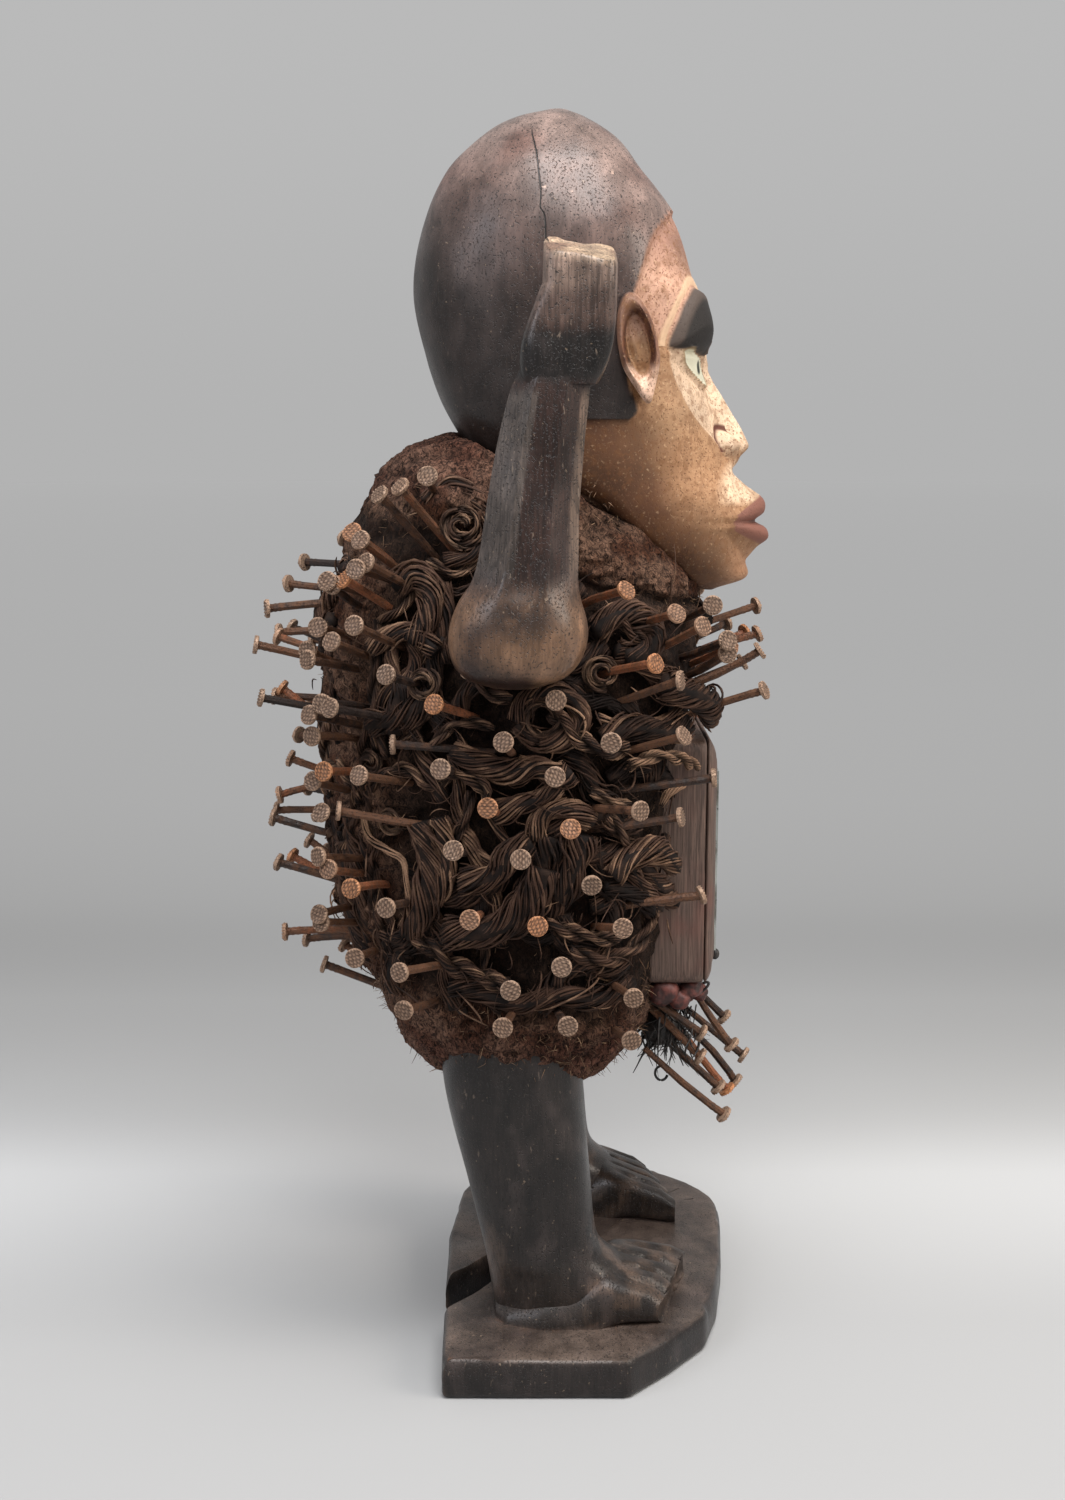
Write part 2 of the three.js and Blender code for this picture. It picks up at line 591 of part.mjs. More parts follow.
const rightRoutes = RIGHT_HANKS.map((run) => run.map(([ahead, up]) => onCoat(RIGHT, ahead, up)));
const leftRoutes = LEFT_HANKS.map(({ from, heights }) => (
  heights.map((up, i) => onCoatAtTurn(from + i * LEFT_HANK_TURN, up))));
const keepClear = join([makeFigure(CLEARANCE), makeCoat(CLEARANCE), boxRoom, nailHoles]);
[...rightRoutes, ...leftRoutes].forEach((route, i) => {
  const name = `cord_hank_${String(i + 1).padStart(2, '0')}`;
  figure.add(toMesh(layCord(route).subtract(keepClear), name, cordFibre));
});

export default figure;
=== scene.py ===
"""A standing power figure of carved wood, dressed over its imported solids: glossy head with a painted
face, a coat of matted fibre full of nails and wound with raffia cord, and a mirror box on the belly.

Lengths are millimetres and angles are degrees until a mesh is made. The figure faces -Y and its
right side is at -X. A place is given as side (towards its left), ahead (towards its front) and up.
"""
import math

import bpy
import numpy as np
from mathutils import Euler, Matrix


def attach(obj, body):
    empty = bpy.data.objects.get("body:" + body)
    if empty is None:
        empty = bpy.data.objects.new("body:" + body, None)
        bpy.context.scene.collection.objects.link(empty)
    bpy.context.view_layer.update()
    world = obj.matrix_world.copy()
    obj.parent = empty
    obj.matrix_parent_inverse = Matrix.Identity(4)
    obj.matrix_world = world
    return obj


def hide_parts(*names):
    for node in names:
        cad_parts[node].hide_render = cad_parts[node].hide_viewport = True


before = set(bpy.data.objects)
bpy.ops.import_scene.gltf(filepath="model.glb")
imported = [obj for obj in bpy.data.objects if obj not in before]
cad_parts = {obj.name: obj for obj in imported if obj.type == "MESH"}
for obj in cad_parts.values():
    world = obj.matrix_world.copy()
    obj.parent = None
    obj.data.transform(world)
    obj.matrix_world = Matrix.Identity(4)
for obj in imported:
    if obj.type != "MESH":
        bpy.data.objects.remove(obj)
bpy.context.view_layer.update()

bl_info = {
    "name": "Carved power figure",
    "version": (1, 0, 0),
    "blender": (4, 5, 0),
    "location": "3D View > Sidebar > Power figure",
    "description": "Builds a nailed and corded power figure of carved wood, with its stage",
    "category": "Add Mesh",
}

MM = 0.001
RIGHT = -1
LEFT = 1

# Each list below gives a size at a few heights, as up and size
FACE_FRONT = [
    (286, 46), (290, 58), (296, 58), (303, 57), (318, 55), (329, 51), (336, 49), (352, 45),
    (366, 40), (376, 39), (392, 39), (400, 36), (422, 28), (438, 16), (450, 6), (457, -5), (460, -12),
]
HEAD_BACK = [
    (286, 40), (290, 33), (305, 14), (320, -4), (328, -28), (335, -41.5), (352, -53.5), (374, -61.5),
    (395, -65), (417, -62), (438, -53), (452, -38), (457, -28), (460, -16),
]
HEAD_MIDDLE = [(286, 44), (293, 36), (305, 24), (320, 10), (335, -2), (352, -8), (460, -14)]
HEAD_HALF_WIDTH = [
    (286, 8), (290, 14), (296, 20), (305, 26), (320, 33), (335, 38), (352, 42), (375, 44),
    (400, 45), (420, 42), (438, 34), (450, 23), (457, 12), (460, 3),
]
HEAD_SQUARENESS = 2.25
FRONT_CROWDING = 0.42
NOSE_RELIEF = [(331, 0), (335, 5), (340, 11), (352, 8), (362, 5), (370, 3.5), (378, 3), (388, 0)]
NOSE_HALF_WIDTH = [(331, 8), (341, 6.5), (352, 5.5), (370, 4), (388, 5)]
NOSTRIL = {"side": 8.0, "up": 341, "half_width": 3.6, "half_height": 4.2, "relief": 3.6}
# The edge of the pale flat beside the nose: up and side
PALE_FLAT = [(333, 9), (338, 12), (345, 22), (352, 28), (362, 31), (378, 34)]
LIP_RELIEF = [
    (297, 0), (302, 5), (305, 8), (309, 7.4), (311.2, 3.6), (312.4, 3.8), (315, 7.4), (320, 8),
    (325, 3), (329, 0),
]
LIP_HALF_WIDTH = 17
MOUTH_LINE = 311.8
MUZZLE = {"up": 319, "half_width": 24, "half_height": 17, "relief": 1.6}
BROW = {"side": 18, "low": 373.5, "high": 396, "half_width": 15.5, "relief": 5.6}
EYE = {"side": 18, "up": 368, "half_width": 9, "half_height": 4.3, "relief": 2.3, "lean": 0.5}
HAIR_STEP = 1.6
HAIR_FOOT = 349
HAIRLINE = [
    (345, 6), (352, 14), (362, 11), (378, 9), (388, 11), (396, 13.4), (405, 16), (412, 18.5), (421, 25),
    (430, 33), (460, 60),
]
# How far the hair runs on down behind the ear, into the nape
NAPE_DROP = 45
# The long crack over the skull's right side: up and ahead
CRACK = [(404, -17.5), (411, -18.5), (419, -18.7), (421, -20.2), (427, -20.3), (440, -21.6), (452, -23.5)]
# Pale chips on the skull's right side: ahead, up, radius
SKULL_CHIPS = [(-9.6, 427, 1.2), (-19, 428.5, 0.6), (5, 434.5, 0.6), (-31, 441, 0.4)]
EAR = {"side": 43, "ahead": 14, "up": 374, "half_length": 7, "half_height": 19.5, "lean": 11}

TRUNK_MIDDLE = -26
COAT_BACK = [
    (101, -50), (106, -62), (118, -74), (136, -83), (155, -93), (183, -98), (219, -100), (250, -101),
    (281, -97), (304, -84), (320, -68), (331, -52),
]
COAT_FRONT = [
    (101, -6), (106, 6), (116, 17), (130, 26), (150, 31), (210, 34), (240, 40), (262, 43), (285, 41),
    (304, 38), (320, 32), (331, 24),
]
COAT_HALF_WIDTH = [
    (101, 44), (106, 55), (118, 64), (138, 69), (170, 71), (215, 72), (250, 70), (281, 64),
    (304, 55), (320, 48), (331, 40),
]
COLLAR_SLOPE = [(250, 0), (281, 0.12), (304, 0.3), (320, 0.42), (331, 0.5)]
COAT_SQUARENESS = 2.3
COAT_THICKNESS = 13
NECK = {"ahead": -12, "radius": 27, "bottom": 285, "top": 345}

# Stations down the raised arm: up, back, front, half width
RAISED_ARM_SIDE = -86
FOREARM = [
    (368, -27, -2, 11), (358, -31.5, -3.5, 12.5), (325, -38.5, -6.5, 14.5), (304, -42, -6.8, 16),
    (296, -44.5, -6.8, 17), (289, -48.5, -6, 19), (279, -51.5, -4.2, 20.5), (270, -50.5, -6.5, 19.5),
    (264, -46, -12, 15), (260.5, -37, -21, 6),
]
ELBOW = {"ahead": -28, "up": 278}
FIST = [
    (361, -26, -2, 10.5), (366, -27, 1, 11.5), (372, -27, 3, 12), (380, -25, 4, 12), (394, -19.5, 4.5, 12),
]
# The fist's raw top: its heights at the back and front, on the outer edge and the inner edge
FIST_TOP = {"back": 406.4, "front": 402.8, "aside": 0.27}
SHOULDER = (-40, -26, 284, 17)

# The lowered left arm, elbow out and hand on the hip: side, ahead, up, radius
LOWERED_UPPER_ARM = [(40, -27, 290, 17), (66, -32, 274, 16), (83, -38, 224, 14.5)]
LOWERED_FOREARM = [(83, -38, 224, 14.5), (80, -10, 200, 13), (72, 17, 180, 10)]
LOWERED_ELBOW = (83, -38, 222, 16.5)
HAND = {"side": 69, "ahead": 27, "up": 173, "width": 7, "length": 15, "height": 8.5}

# Stations down a leg: up, back, front, half width, side of the right leg, side of the left leg
LEGS = [
    (135, -58, -4, 25, -38, 40), (104, -56, -4, 24, -43, 48), (66, -47, -1, 21, -45, 51),
    (46, -42.5, 1, 19.3, -45, 52), (39, -41, 4, 19.2, -45, 52), (33, -40, 11, 19, -44.5, 52),
    (26, -39, 14, 19, -44, 52), (16, -38, 14, 19, -43, 52),
]
BASE_HEIGHT = 15
# The base's outline without its notch, and the slanted notch cut in from the back, as side and ahead
BASE_OUTLINE = [
    (-89, 12), (-89, -56), (-50, -57), (18, -58), (62, -54), (83, -44), (84, 31), (67, 49), (54, 56),
    (43, 58), (-2, 54), (-32, 49), (-53, 43), (-72, 28),
]
BASE_NOTCH = [(-53, -62), (-49, -57), (-34, -44), (-8, -28), (2, -30), (0, -38), (-22, -57), (-28, -62)]
# A foot from heel to toes: ahead, inner edge, outer edge, top, all from the ankle's side
FOOT = [(-37, -10, 10, 20), (-33, -14, 17, 22), (-20, -18, 21, 27), (2, -23, 20, 35), (24, -29, 17, 27)]
TOE_SPLAY = 13
TOES = 5
FOOT_SIDES = {RIGHT: -45, LEFT: 54}

BOX = {"half_width": 32, "bottom": 138, "top": 232, "back": 20.8, "front": 41.8, "wall": 5, "lid": 3.6}
SEAM_GAP = 0.35

NAIL = {"shank": 1.5, "head": 3.55, "head_thickness": 1.3, "shown": 25, "sunk": 12}
# Nails on the right side, as seen from that side: where the shank leaves the coat (ahead, up)
# and how far its head lies ahead of that and above it
RIGHT_NAILS = [
    (-58, 324, -1, 6), (-54, 308, -14, 18), (-61, 306, -15, 18), (-74, 300, -11, 12), (-70, 297, -12, 12),
    (-72, 293, -12, 8), (-65, 291, -15, 10), (-80, 287, -13, 9), (-72, 283, -16, 13), (-84, 283, -11, 8),
    (-89, 272, -8, 7), (-70, 271, -12, 8), (-81, 266, -11, 8), (-90, 261, -11, 7), (-85, 261, -13, 6),
    (-62, 258, -12, 5), (-83, 248, -11, 6), (-45, 248, -12, 8), (-74, 245, -14, 7), (-85, 241, -14, 7),
    (-87, 236, -11, 6), (-48, 236, -25, 2), (-30, 235, -2, 6), (-50, 228, -4, 6), (-85, 224, -11, 5),
    (-68, 223, -15, 6), (-88, 216, -12, 6), (-35, 214, -4, 6), (-86, 208, -12, 5), (-59, 208, -31, 4),
    (-47, 199, -3, 6), (-84, 192, -15, 4), (-84, 186, -11, 5), (-76, 184, -10, 6), (-66, 179, -8, 6),
    (-89, 171, -11, 4), (-87, 165, -10, 6), (-80, 157, -7, 4), (-54, 157, -13, 5), (-41, 177, -2, 5),
    (-21, 173, -1, 6), (-32, 152, 0, 5), (-15, 159, 2, 4), (-26, 198, -1, 6), (-9, 207, 0, 5),
    (-15, 226, 0, 6), (-14, 249, 1, 6), (2, 235, 2, 6), (-4, 187, 2, 5), (0, 171, 8, 6),
    (-2, 215, 13, 3), (6, 148, 5, 4), (-14, 140, 2, 3), (7, 129, 4, 4), (-5, 286, 13, 9),
    (15, 278, 11, 8), (33, 278, 7, 7), (22, 269, 14, 10), (2, 262, 17, 8), (8, 252, 20, 9),
    (34, 265, 10, 6), (38, 262, 10, 8), (35, 258, 10, 8), (10, 234, 19, 8), (14, 220, 25, 3),
    (4, 207, 24, 4), (10, 177, 25, 5), (-38, 262, -6, 5), (-30, 140, -3, 3), (-58, 142, -9, 3),
]
# Nails on the hidden side that the solids carry: height, first turn from straight ahead, turn between
LEFT_NAIL_ROWS = [(150, -72, -34), (196, -122, -30), (240, -136, -30)]
LEFT_NAIL_LIFT = 6
# Nails in front, above and below the box: side, up, lift of the head
FRONT_NAILS = [
    (-14, 252, 24), (12, 260, 18), (-22, 126, -40), (22, 246, 22), (28, 268, 16), (36, 256, 18),
    (-27, 243, 24),
]
# The bundle of nails below the box: side, ahead and up of the root, then the head's way from there
BUNDLE_NAILS = [
    (-24, 29, 102, 20, -19), (-18, 35, 106, 14, -13), (-10, 36, 112, 16, -24), (-4, 45, 106, 16, -16),
    (4, 47, 110, 13, -11), (-14, 47, 119, 7, -11), (10, 46, 120, 8, -8), (-27, 27, 128, 15, -10),
]

# Cords on the right side: thickness, lift off the coat, plies, tone from dark to tan, and the route
# as places on the coat (ahead, up)
RIGHT_CORDS = [
    (4.4, 3, 1, 0.5, [(-60, 321), (-50, 328), (-39, 320), (-38, 311), (-43, 303), (-53, 301)]),
    (4.6, 1, 2, 0.6, [(-59, 301), (-50, 296), (-41, 301)]),
    (3.6, 0, 2, 0.4, [(-56, 294), (-49, 290), (-40, 295), (-34, 303)]),
    (8.0, 2, 1, 0.55, [(-69, 291), (-62, 296), (-57, 289), (-59, 280), (-64, 273)]),
    (6.6, 1, 2, 0.6, [(-64, 292), (-69, 284), (-75, 278)]),
    (6.0, 0, 1, 0.35, [(-54, 293), (-53, 284), (-55, 273)]),
    (6.4, 3, 1, 0.65, [(-78, 270), (-70, 275), (-62, 276), (-55, 270)]),
    (5.0, 1, 1, 0.5, [(-71, 273), (-72, 266), (-70, 258)]),
    (5.0, 1, 1, 0.6, [(-65, 273), (-63, 266), (-66, 259)]),
    (8.4, 0, 1, 0.15, [(-66, 258), (-69, 249), (-70, 240)]),
    (8.0, 1, 1, 0.25, [(-57, 256), (-63, 249), (-71, 245), (-79, 243)]),
    (4.8, 2, 2, 0.5, [(-58, 237), (-51, 244), (-44, 246), (-36, 244)]),
    (3.2, 3, 2, 0.7, [(-56, 251), (-63, 243), (-71, 236)]),
    (6.6, 2, 1, 0.5, [(-28, 246), (-24, 254), (-17, 257), (-10, 254), (-7, 247), (-12, 241), (-21, 240),
                      (-28, 246)]),
    (7.2, 3, 2, 0.6, [(-17, 250), (-12, 245), (-7, 240), (0, 236), (8, 236)]),
    (7.6, 2, 1, 0.5, [(-50, 237), (-41, 232), (-31, 229), (-22, 231), (-14, 227), (-10, 229)]),
    (4.4, 4, 1, 0.6, [(-28, 233), (-21, 231), (-16, 226)]),
    (6.0, 4, 2, 0.65, [(-52, 229), (-44, 227), (-39, 223), (-39, 216)]),
    (5.6, 1, 2, 0.55, [(-76, 224), (-70, 228), (-64, 227), (-58, 223), (-51, 227)]),
    (6.6, 1, 1, 0.55, [(-37, 214), (-28, 217), (-21, 219), (-13, 223)]),
    (6.2, 2, 1, 0.65, [(-23, 205), (-20, 213), (-15, 216), (-9, 215), (-3, 210)]),
    (2.6, 5, 1, 1.0, [(-81, 211), (-79, 202), (-72, 198), (-67, 195), (-66, 187), (-65, 178), (-65, 167)]),
    (9.2, 1, 1, 0.45, [(-61, 210), (-58, 198), (-58, 188), (-61, 178), (-66, 168)]),
    (6.4, 3, 1, 0.6, [(-55, 212), (-52, 200), (-53, 190), (-57, 181)]),
    (8.0, 2, 1, 0.45, [(-48, 190), (-41, 190), (-35, 193), (-31, 199), (-23, 204)]),
    (9.2, 0, 1, 0.35, [(-6, 206), (-8, 198), (-11, 190), (-15, 183)]),
    (8.8, 0, 1, 0.2, [(-17, 206), (-20, 196), (-25, 184)]),
    (9.8, 2, 1, 0.4, [(-19, 195), (-22, 186), (-28, 178), (-36, 173), (-44, 171), (-53, 171)]),
    (7.8, 1, 2, 0.5, [(-66, 168), (-57, 163), (-51, 158), (-44, 156), (-37, 153), (-29, 148)]),
    (4.8, 4, 2, 0.75, [(-4, 222), (2, 218), (9, 215)]),
    (6.0, 2, 2, 0.6, [(2, 213), (7, 204), (11, 199)]),
    (8.0, 3, 1, 0.6, [(3, 190), (8, 196), (14, 198), (20, 195), (25, 187)]),
    (7.0, 1, 1, 0.5, [(14, 192), (21, 182), (28, 171)]),
    (6.0, 2, 1, 0.6, [(10, 192), (15, 182), (21, 173)]),
    (5.4, 3, 1, 0.05, [(1, 187), (8, 184), (14, 179), (18, 171)]),
    (6.2, 3, 2, 0.6, [(-19, 175), (-12, 172), (-5, 169), (5, 166)]),
    (6.8, 2, 2, 0.5, [(-11, 165), (-3, 160), (4, 159), (11, 161), (16, 166), (18, 174)]),
    (8.4, 2, 1, 0.4, [(-3, 277), (4, 282), (11, 282), (17, 276), (15, 269), (7, 268)]),
    (6.0, 3, 2, 0.6, [(3, 284), (10, 276), (18, 270)]),
    (7.2, 1, 1, 0.5, [(5, 270), (13, 266), (20, 261), (28, 256)]),
    (9.6, 3, 1, 0.35, [(19, 258), (28, 253), (36, 247), (41, 238)]),
    (3.2, 3, 1, 0.7, [(-1, 248), (6, 244), (13, 245), (20, 244), (29, 247)]),
    (8.0, 1, 1, 0.25, [(0, 240), (8, 243), (15, 242), (22, 240), (31, 239)]),
    (5.8, 5, 2, 0.95, [(8, 230), (15, 232), (22, 231), (27, 228), (32, 223)]),
    (3.0, 6, 1, 0.9, [(19, 213), (22, 217), (28, 218)]),
    (6.6, 1, 1, 0.3, [(-52, 150), (-40, 148), (-28, 144), (-14, 147), (0, 144), (12, 148)]),
    (5.0, 2, 2, 0.5, [(-44, 222), (-46, 212), (-50, 204)]),
    (6.4, 0, 1, 0.25, [(-30, 264), (-20, 268), (-8, 266), (2, 272)]),
    (5.4, 2, 2, 0.45, [(-44, 262), (-38, 256), (-30, 254)]),
    (5.6, 1, 1, 0.35, [(-46, 286), (-40, 278), (-44, 268)]),
    (6.4, 0, 1, 0.2, [(-34, 290), (-26, 282), (-16, 284), (-6, 292)]),
]
# Knots: thickness, lift, tone, middle (ahead, up), inner and outer radius of the coil, turns
RIGHT_KNOTS = [
    (4.0, 6, 0.6, (-46, 313), 1.8, 8.5, 2.2), (3.2, 7, 0.8, (-59, 259), 3.2, 5.0, 2.2),
    (3.4, 5, 0.75, (0, 263), 2.2, 6.0, 1.8), (3.0, 4, 0.6, (-79, 229), 1.6, 4.2, 1.6),
    (3.2, 4, 0.7, (-72, 208), 1.8, 4.6, 1.6), (3.4, 6, 0.55, (-20, 248), 4.6, 7.6, 2.0),
]
STRAND_RADIUS = 0.5
TWIST_PITCH = 26
HANK_PITCH = 62
# The upright cords where the right side turns into the back: turns from straight ahead, and heights
BACK_CORDS = {
    "count": 26, "turns": (100, 172), "heights": (172, 296), "radius": (1.7, 3.2), "tone": (0.25, 0.65),
}
ROPE_STEP = 2.0

TUFT = {"side": -12, "ahead": 26, "up": 112}

# The glow painted into the paper, painted light that it gives off itself: how far behind the figure, and how
# strong
PAPER_LIGHT = [
    (-150, 0), (-30, 0), (0, 0.04), (32, 0.10), (72, 0.17), (105, 0.20), (125, 0.19), (165, 0.07),
    (206, 0.03), (282, 0.03), (371, 0.09), (603, 0.21), (956, 0.27), (1553, 0.31), (2785, 0.33),
    (6800, 0.347), (9000, 0.357),
]
# Ramps keep few steps, so the near part of the paper's painted glow is drawn out by this power
PAPER_NEARNESS = 0.35
# How near the figure the paper's painted glow starts to brighten it on the other sides, where it is seen
# from above
PAPER_CLEARING = 600

CAMERA = {"side": -700, "ahead": -23, "up": 352, "pitch": 10.44, "focal_pixels": 1835}
PHOTO_HEIGHT = 1500
SENSOR = 36


def linear(value):
    """An sRGB hex colour as the linear red, green, blue and alpha that the shaders take."""
    parts = np.array([int(value[i:i + 2], 16) / 255 for i in (1, 3, 5)])
    parts = np.where(parts <= 0.04045, parts / 12.92, ((parts + 0.055) / 1.055) ** 2.4)
    return (*parts.tolist(), 1.0)


def tint(value):
    """The same colour as an array of three, for colours that are worked out point by point."""
    return np.array(linear(value)[:3])


def place(side, ahead, up):
    """Points from how far towards the figure's left, how far ahead and how far up they are."""
    return np.stack(np.broadcast_arrays(side, -np.asarray(ahead, float), up), -1).astype(float)


def through(stops):
    """A function for a smooth curve through the stops: a cubic between each two, whose slope at a
    stop is the slope of the line that joins its neighbours."""
    places, sizes = np.array(stops, float).T
    order = np.arange(len(places))
    before = np.maximum(order - 1, 0)
    after = np.minimum(order + 1, len(places) - 1)
    slopes = (sizes[after] - sizes[before]) / (places[after] - places[before])

    def at(where):
        x = np.clip(where, places[0], places[-1])
        i = np.clip(np.searchsorted(places, x, side="right") - 1, 0, len(places) - 2)
        span = places[i + 1] - places[i]
        t = (x - places[i]) / span
        eased = sizes[i] + (sizes[i + 1] - sizes[i]) * t * t * (3 - 2 * t)
        return eased + span * t * (1 - t) * (slopes[i] * (1 - t) - slopes[i + 1] * t)

    return at


arm_back = through([(up, back) for up, back, _, _ in reversed(FOREARM)])
arm_front = through([(up, front) for up, _, front, _ in reversed(FOREARM)])
crack_line = through(CRACK)
face_front, head_back, head_middle = through(FACE_FRONT), through(HEAD_BACK), through(HEAD_MIDDLE)
head_half_width, hairline = through(HEAD_HALF_WIDTH), through(HAIRLINE)
pale_flat_edge = through(PALE_FLAT)
nose_relief, nose_half_width = through(NOSE_RELIEF), through(NOSE_HALF_WIDTH)
lip_relief = through(LIP_RELIEF)
coat_back, coat_front = through(COAT_BACK), through(COAT_FRONT)
coat_half_width, collar_slope = through(COAT_HALF_WIDTH), through(COLLAR_SLOPE)


def step(low, high, value):
    """0 below low, 1 above high, and a smooth cubic rise between them."""
    t = np.clip((value - low) / (high - low), 0, 1)
    return t * t * (3 - 2 * t)


def bump(distance, half_width, power=2):
    """A smooth hump, 1 in the middle and falling off beyond the half width."""
    return np.exp(-(np.abs(distance) / half_width) ** power)


def unit(vectors):
    """The vectors scaled to a length of 1."""
    return vectors / np.maximum(np.linalg.norm(vectors, axis=-1, keepdims=True), 1e-9)


def noise(points, size, seed=0):
    """Smooth noise from -1 to 1: random values on a lattice of that size, blended by an eased cubic."""
    scaled = points / size
    cell = np.floor(scaled).astype(np.int64)
    share = scaled - cell
    share = share * share * (3 - 2 * share)
    total = np.zeros(points.shape[:-1])
    for corner in np.ndindex(2, 2, 2):
        x, y, z = np.moveaxis(cell + corner, -1, 0)
        mixed = (x * 73856093) ^ (y * 19349663) ^ (z * 83492791) ^ (seed * 26544357)
        mixed = ((mixed ^ (mixed >> 13)) * 1274126177) & 0x7FFFFFFF
        mixed = ((mixed ^ (mixed >> 15)) * 73244475) & 0x7FFFFFFF
        weight = np.prod(np.where(corner, share, 1 - share), axis=-1)
        total += weight * ((mixed & 0xFFFF) / 32767.5 - 1)
    return total


def build_mesh(name, points, quads, tris=None):
    """A mesh from points in millimetres, four-cornered faces and three-cornered faces."""
    tris = np.empty((0, 3), int) if tris is None else tris
    mesh = bpy.data.meshes.new(name)
    corners = np.concatenate([quads.ravel(), tris.ravel()])
    sizes = np.concatenate([np.full(len(quads), 4), np.full(len(tris), 3)])
    starts = np.concatenate([[0], np.cumsum(sizes)[:-1]])
    mesh.vertices.add(len(points))
    mesh.vertices.foreach_set("co", (points * MM).astype(np.float32).ravel())
    mesh.loops.add(len(corners))
    mesh.loops.foreach_set("vertex_index", corners.astype(np.int32))
    mesh.polygons.add(len(sizes))
    mesh.polygons.foreach_set("loop_start", starts.astype(np.int32))
    mesh.update(calc_edges=True)
    mesh.validate()
    mesh.polygons.foreach_set("use_smooth", np.ones(len(sizes), bool))
    return mesh


def closed_skin(rings):
    """Points and faces of a skin over a stack of rings, each end closed by a fan round its middle.
    The volume under the faces, summed from the origin, tells whether they have to be turned round."""
    rows, around = rings.shape[:2]
    index = np.arange(rows * around).reshape(rows, around)
    beside = np.roll(index, -1, axis=1)
    quads = np.stack([index[:-1], beside[:-1], beside[1:], index[1:]], -1).reshape(-1, 4)
    start, end = rows * around, rows * around + 1
    first = np.stack([np.full(around, start), beside[0], index[0]], -1)
    last = np.stack([np.full(around, end), index[-1], beside[-1]], -1)
    tris = np.concatenate([first, last])
    points = np.concatenate([rings.reshape(-1, 3), rings[:1].mean(axis=1), rings[-1:].mean(axis=1)])
    halves = np.concatenate([quads[:, [0, 1, 2]], quads[:, [0, 2, 3]], tris])
    a, b, c = (points[halves[:, k]] - points.mean(axis=0) for k in range(3))
    if np.sum(a * np.cross(b, c)) < 0:
        quads, tris = quads[:, ::-1], tris[:, ::-1]
    return points, quads, tris


def gather(shapes):
    """One set of points, four-cornered and three-cornered faces from many."""
    points, quads, tris, count = [], [], [], 0
    for shape_points, shape_quads, shape_tris in shapes:
        points.append(shape_points)
        quads.append(shape_quads + count)
        tris.append(shape_tris + count)
        count += len(shape_points)
    return np.concatenate(points), np.concatenate(quads), np.concatenate(tris)


def tubes(paths, radii, sides):
    """Points and faces of closed tubes round many paths of equal numbers of points. Each ring lies
    square to its path, turned from the way that is least along the path's first stretch."""
    count, steps = paths.shape[:2]
    along = unit(np.gradient(paths, axis=1))
    least = np.eye(3)[np.argmin(np.abs(along[:, 0]), axis=-1)]
    across = unit(np.cross(along, least[:, None, :]))
    other = np.cross(along, across)
    turn = 2 * np.pi * np.arange(sides) / sides
    ring = across[:, :, None] * np.cos(turn)[:, None] + other[:, :, None] * np.sin(turn)[:, None]
    points = paths[:, :, None] + ring * radii[:, :, None, None]
    index = np.arange(count * steps * sides).reshape(count, steps, sides)
    beside = np.roll(index, -1, axis=2)
    quads = np.stack([index[:, :-1], beside[:, :-1], beside[:, 1:], index[:, 1:]], -1).reshape(-1, 4)
    caps = [index[:, 0, ::-1], index[:, -1]]
    if sides == 4:
        return points.reshape(-1, 3), np.concatenate([quads, *caps]), np.empty((0, 3), int)
    fans = [cap[:, [0, k, k + 1]] for cap in caps for k in range(1, sides - 1)]
    return points.reshape(-1, 3), quads, np.concatenate(fans)


def store(mesh, name, values):
    """Keeps one number, or one colour of three, for each point of the mesh."""
    values = np.asarray(values, np.float32)
    if values.ndim == 1:
        mesh.attributes.new(name, "FLOAT", "POINT").data.foreach_set("value", values)
        return
    colours = np.concatenate([values, np.ones((len(values), 1), np.float32)], axis=1)
    mesh.attributes.new(name, "FLOAT_COLOR", "POINT").data.foreach_set("color", colours.ravel())


def mesh_points(mesh):
    """A mesh's points in millimetres."""
    points = np.empty(len(mesh.vertices) * 3, np.float32)
    mesh.vertices.foreach_get("co", points)
    return points.reshape(-1, 3).astype(float) / MM


def show(name, mesh, material, nodes=()):
    """Puts a finished mesh in the scene as a piece of the figure that stands for the named nodes."""
    piece = bpy.data.objects.new(name, mesh)
    bpy.context.scene.collection.objects.link(piece)
    mesh.materials.clear()
    mesh.materials.append(material)
    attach(piece, "root")
    if nodes:
        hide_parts(*nodes)
    return piece


def nodes_named(start):
    """The solids whose names begin so."""
    return [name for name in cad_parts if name.startswith(start)]


# The carved figure

def oval(up, turn, middle, front, back, half_width, side=0.0, squareness=2.0, slope=0.0):
    """Rings round a section whose front and back reach differently far from its middle. The reach at
    a turn is that of a superellipse: the powers of its two shares add up to one."""
    sine, cosine = np.sin(turn), np.cos(turn)
    reach = (np.abs(sine) ** squareness + np.abs(cosine) ** squareness) ** (-1 / squareness)
    ahead = middle + cosine * reach * np.where(cosine > 0, front - middle, middle - back)
    return place(side + sine * reach * half_width, ahead, up - slope * (ahead - middle))


def turns(count):
    """Even turns round a ring."""
    return 2 * np.pi * np.arange(count) / count


def brow_edges(side, up):
    """How deep a place lies inside the brow's two edges, in millimetres: under a half oval, and above
    the nearly level edge that the oval stands on."""
    along = (side - BROW["side"]) / BROW["half_width"]
    above = (up - BROW["low"]) / (BROW["high"] - BROW["low"])
    arch = (1 - np.hypot(along, above)) * BROW["half_width"]
    return arch, up - BROW["low"] - 0.08 * (side - BROW["side"])


def eye_share(side, up):
    """How far from the middle of the eye a place lies: 1 on the lids' edge."""
    level = EYE["up"] + EYE["lean"] * (side - EYE["side"])
    along = (side - EYE["side"]) / EYE["half_width"]
    return np.sqrt(along ** 2 + ((up - level) / EYE["half_height"]) ** 2)


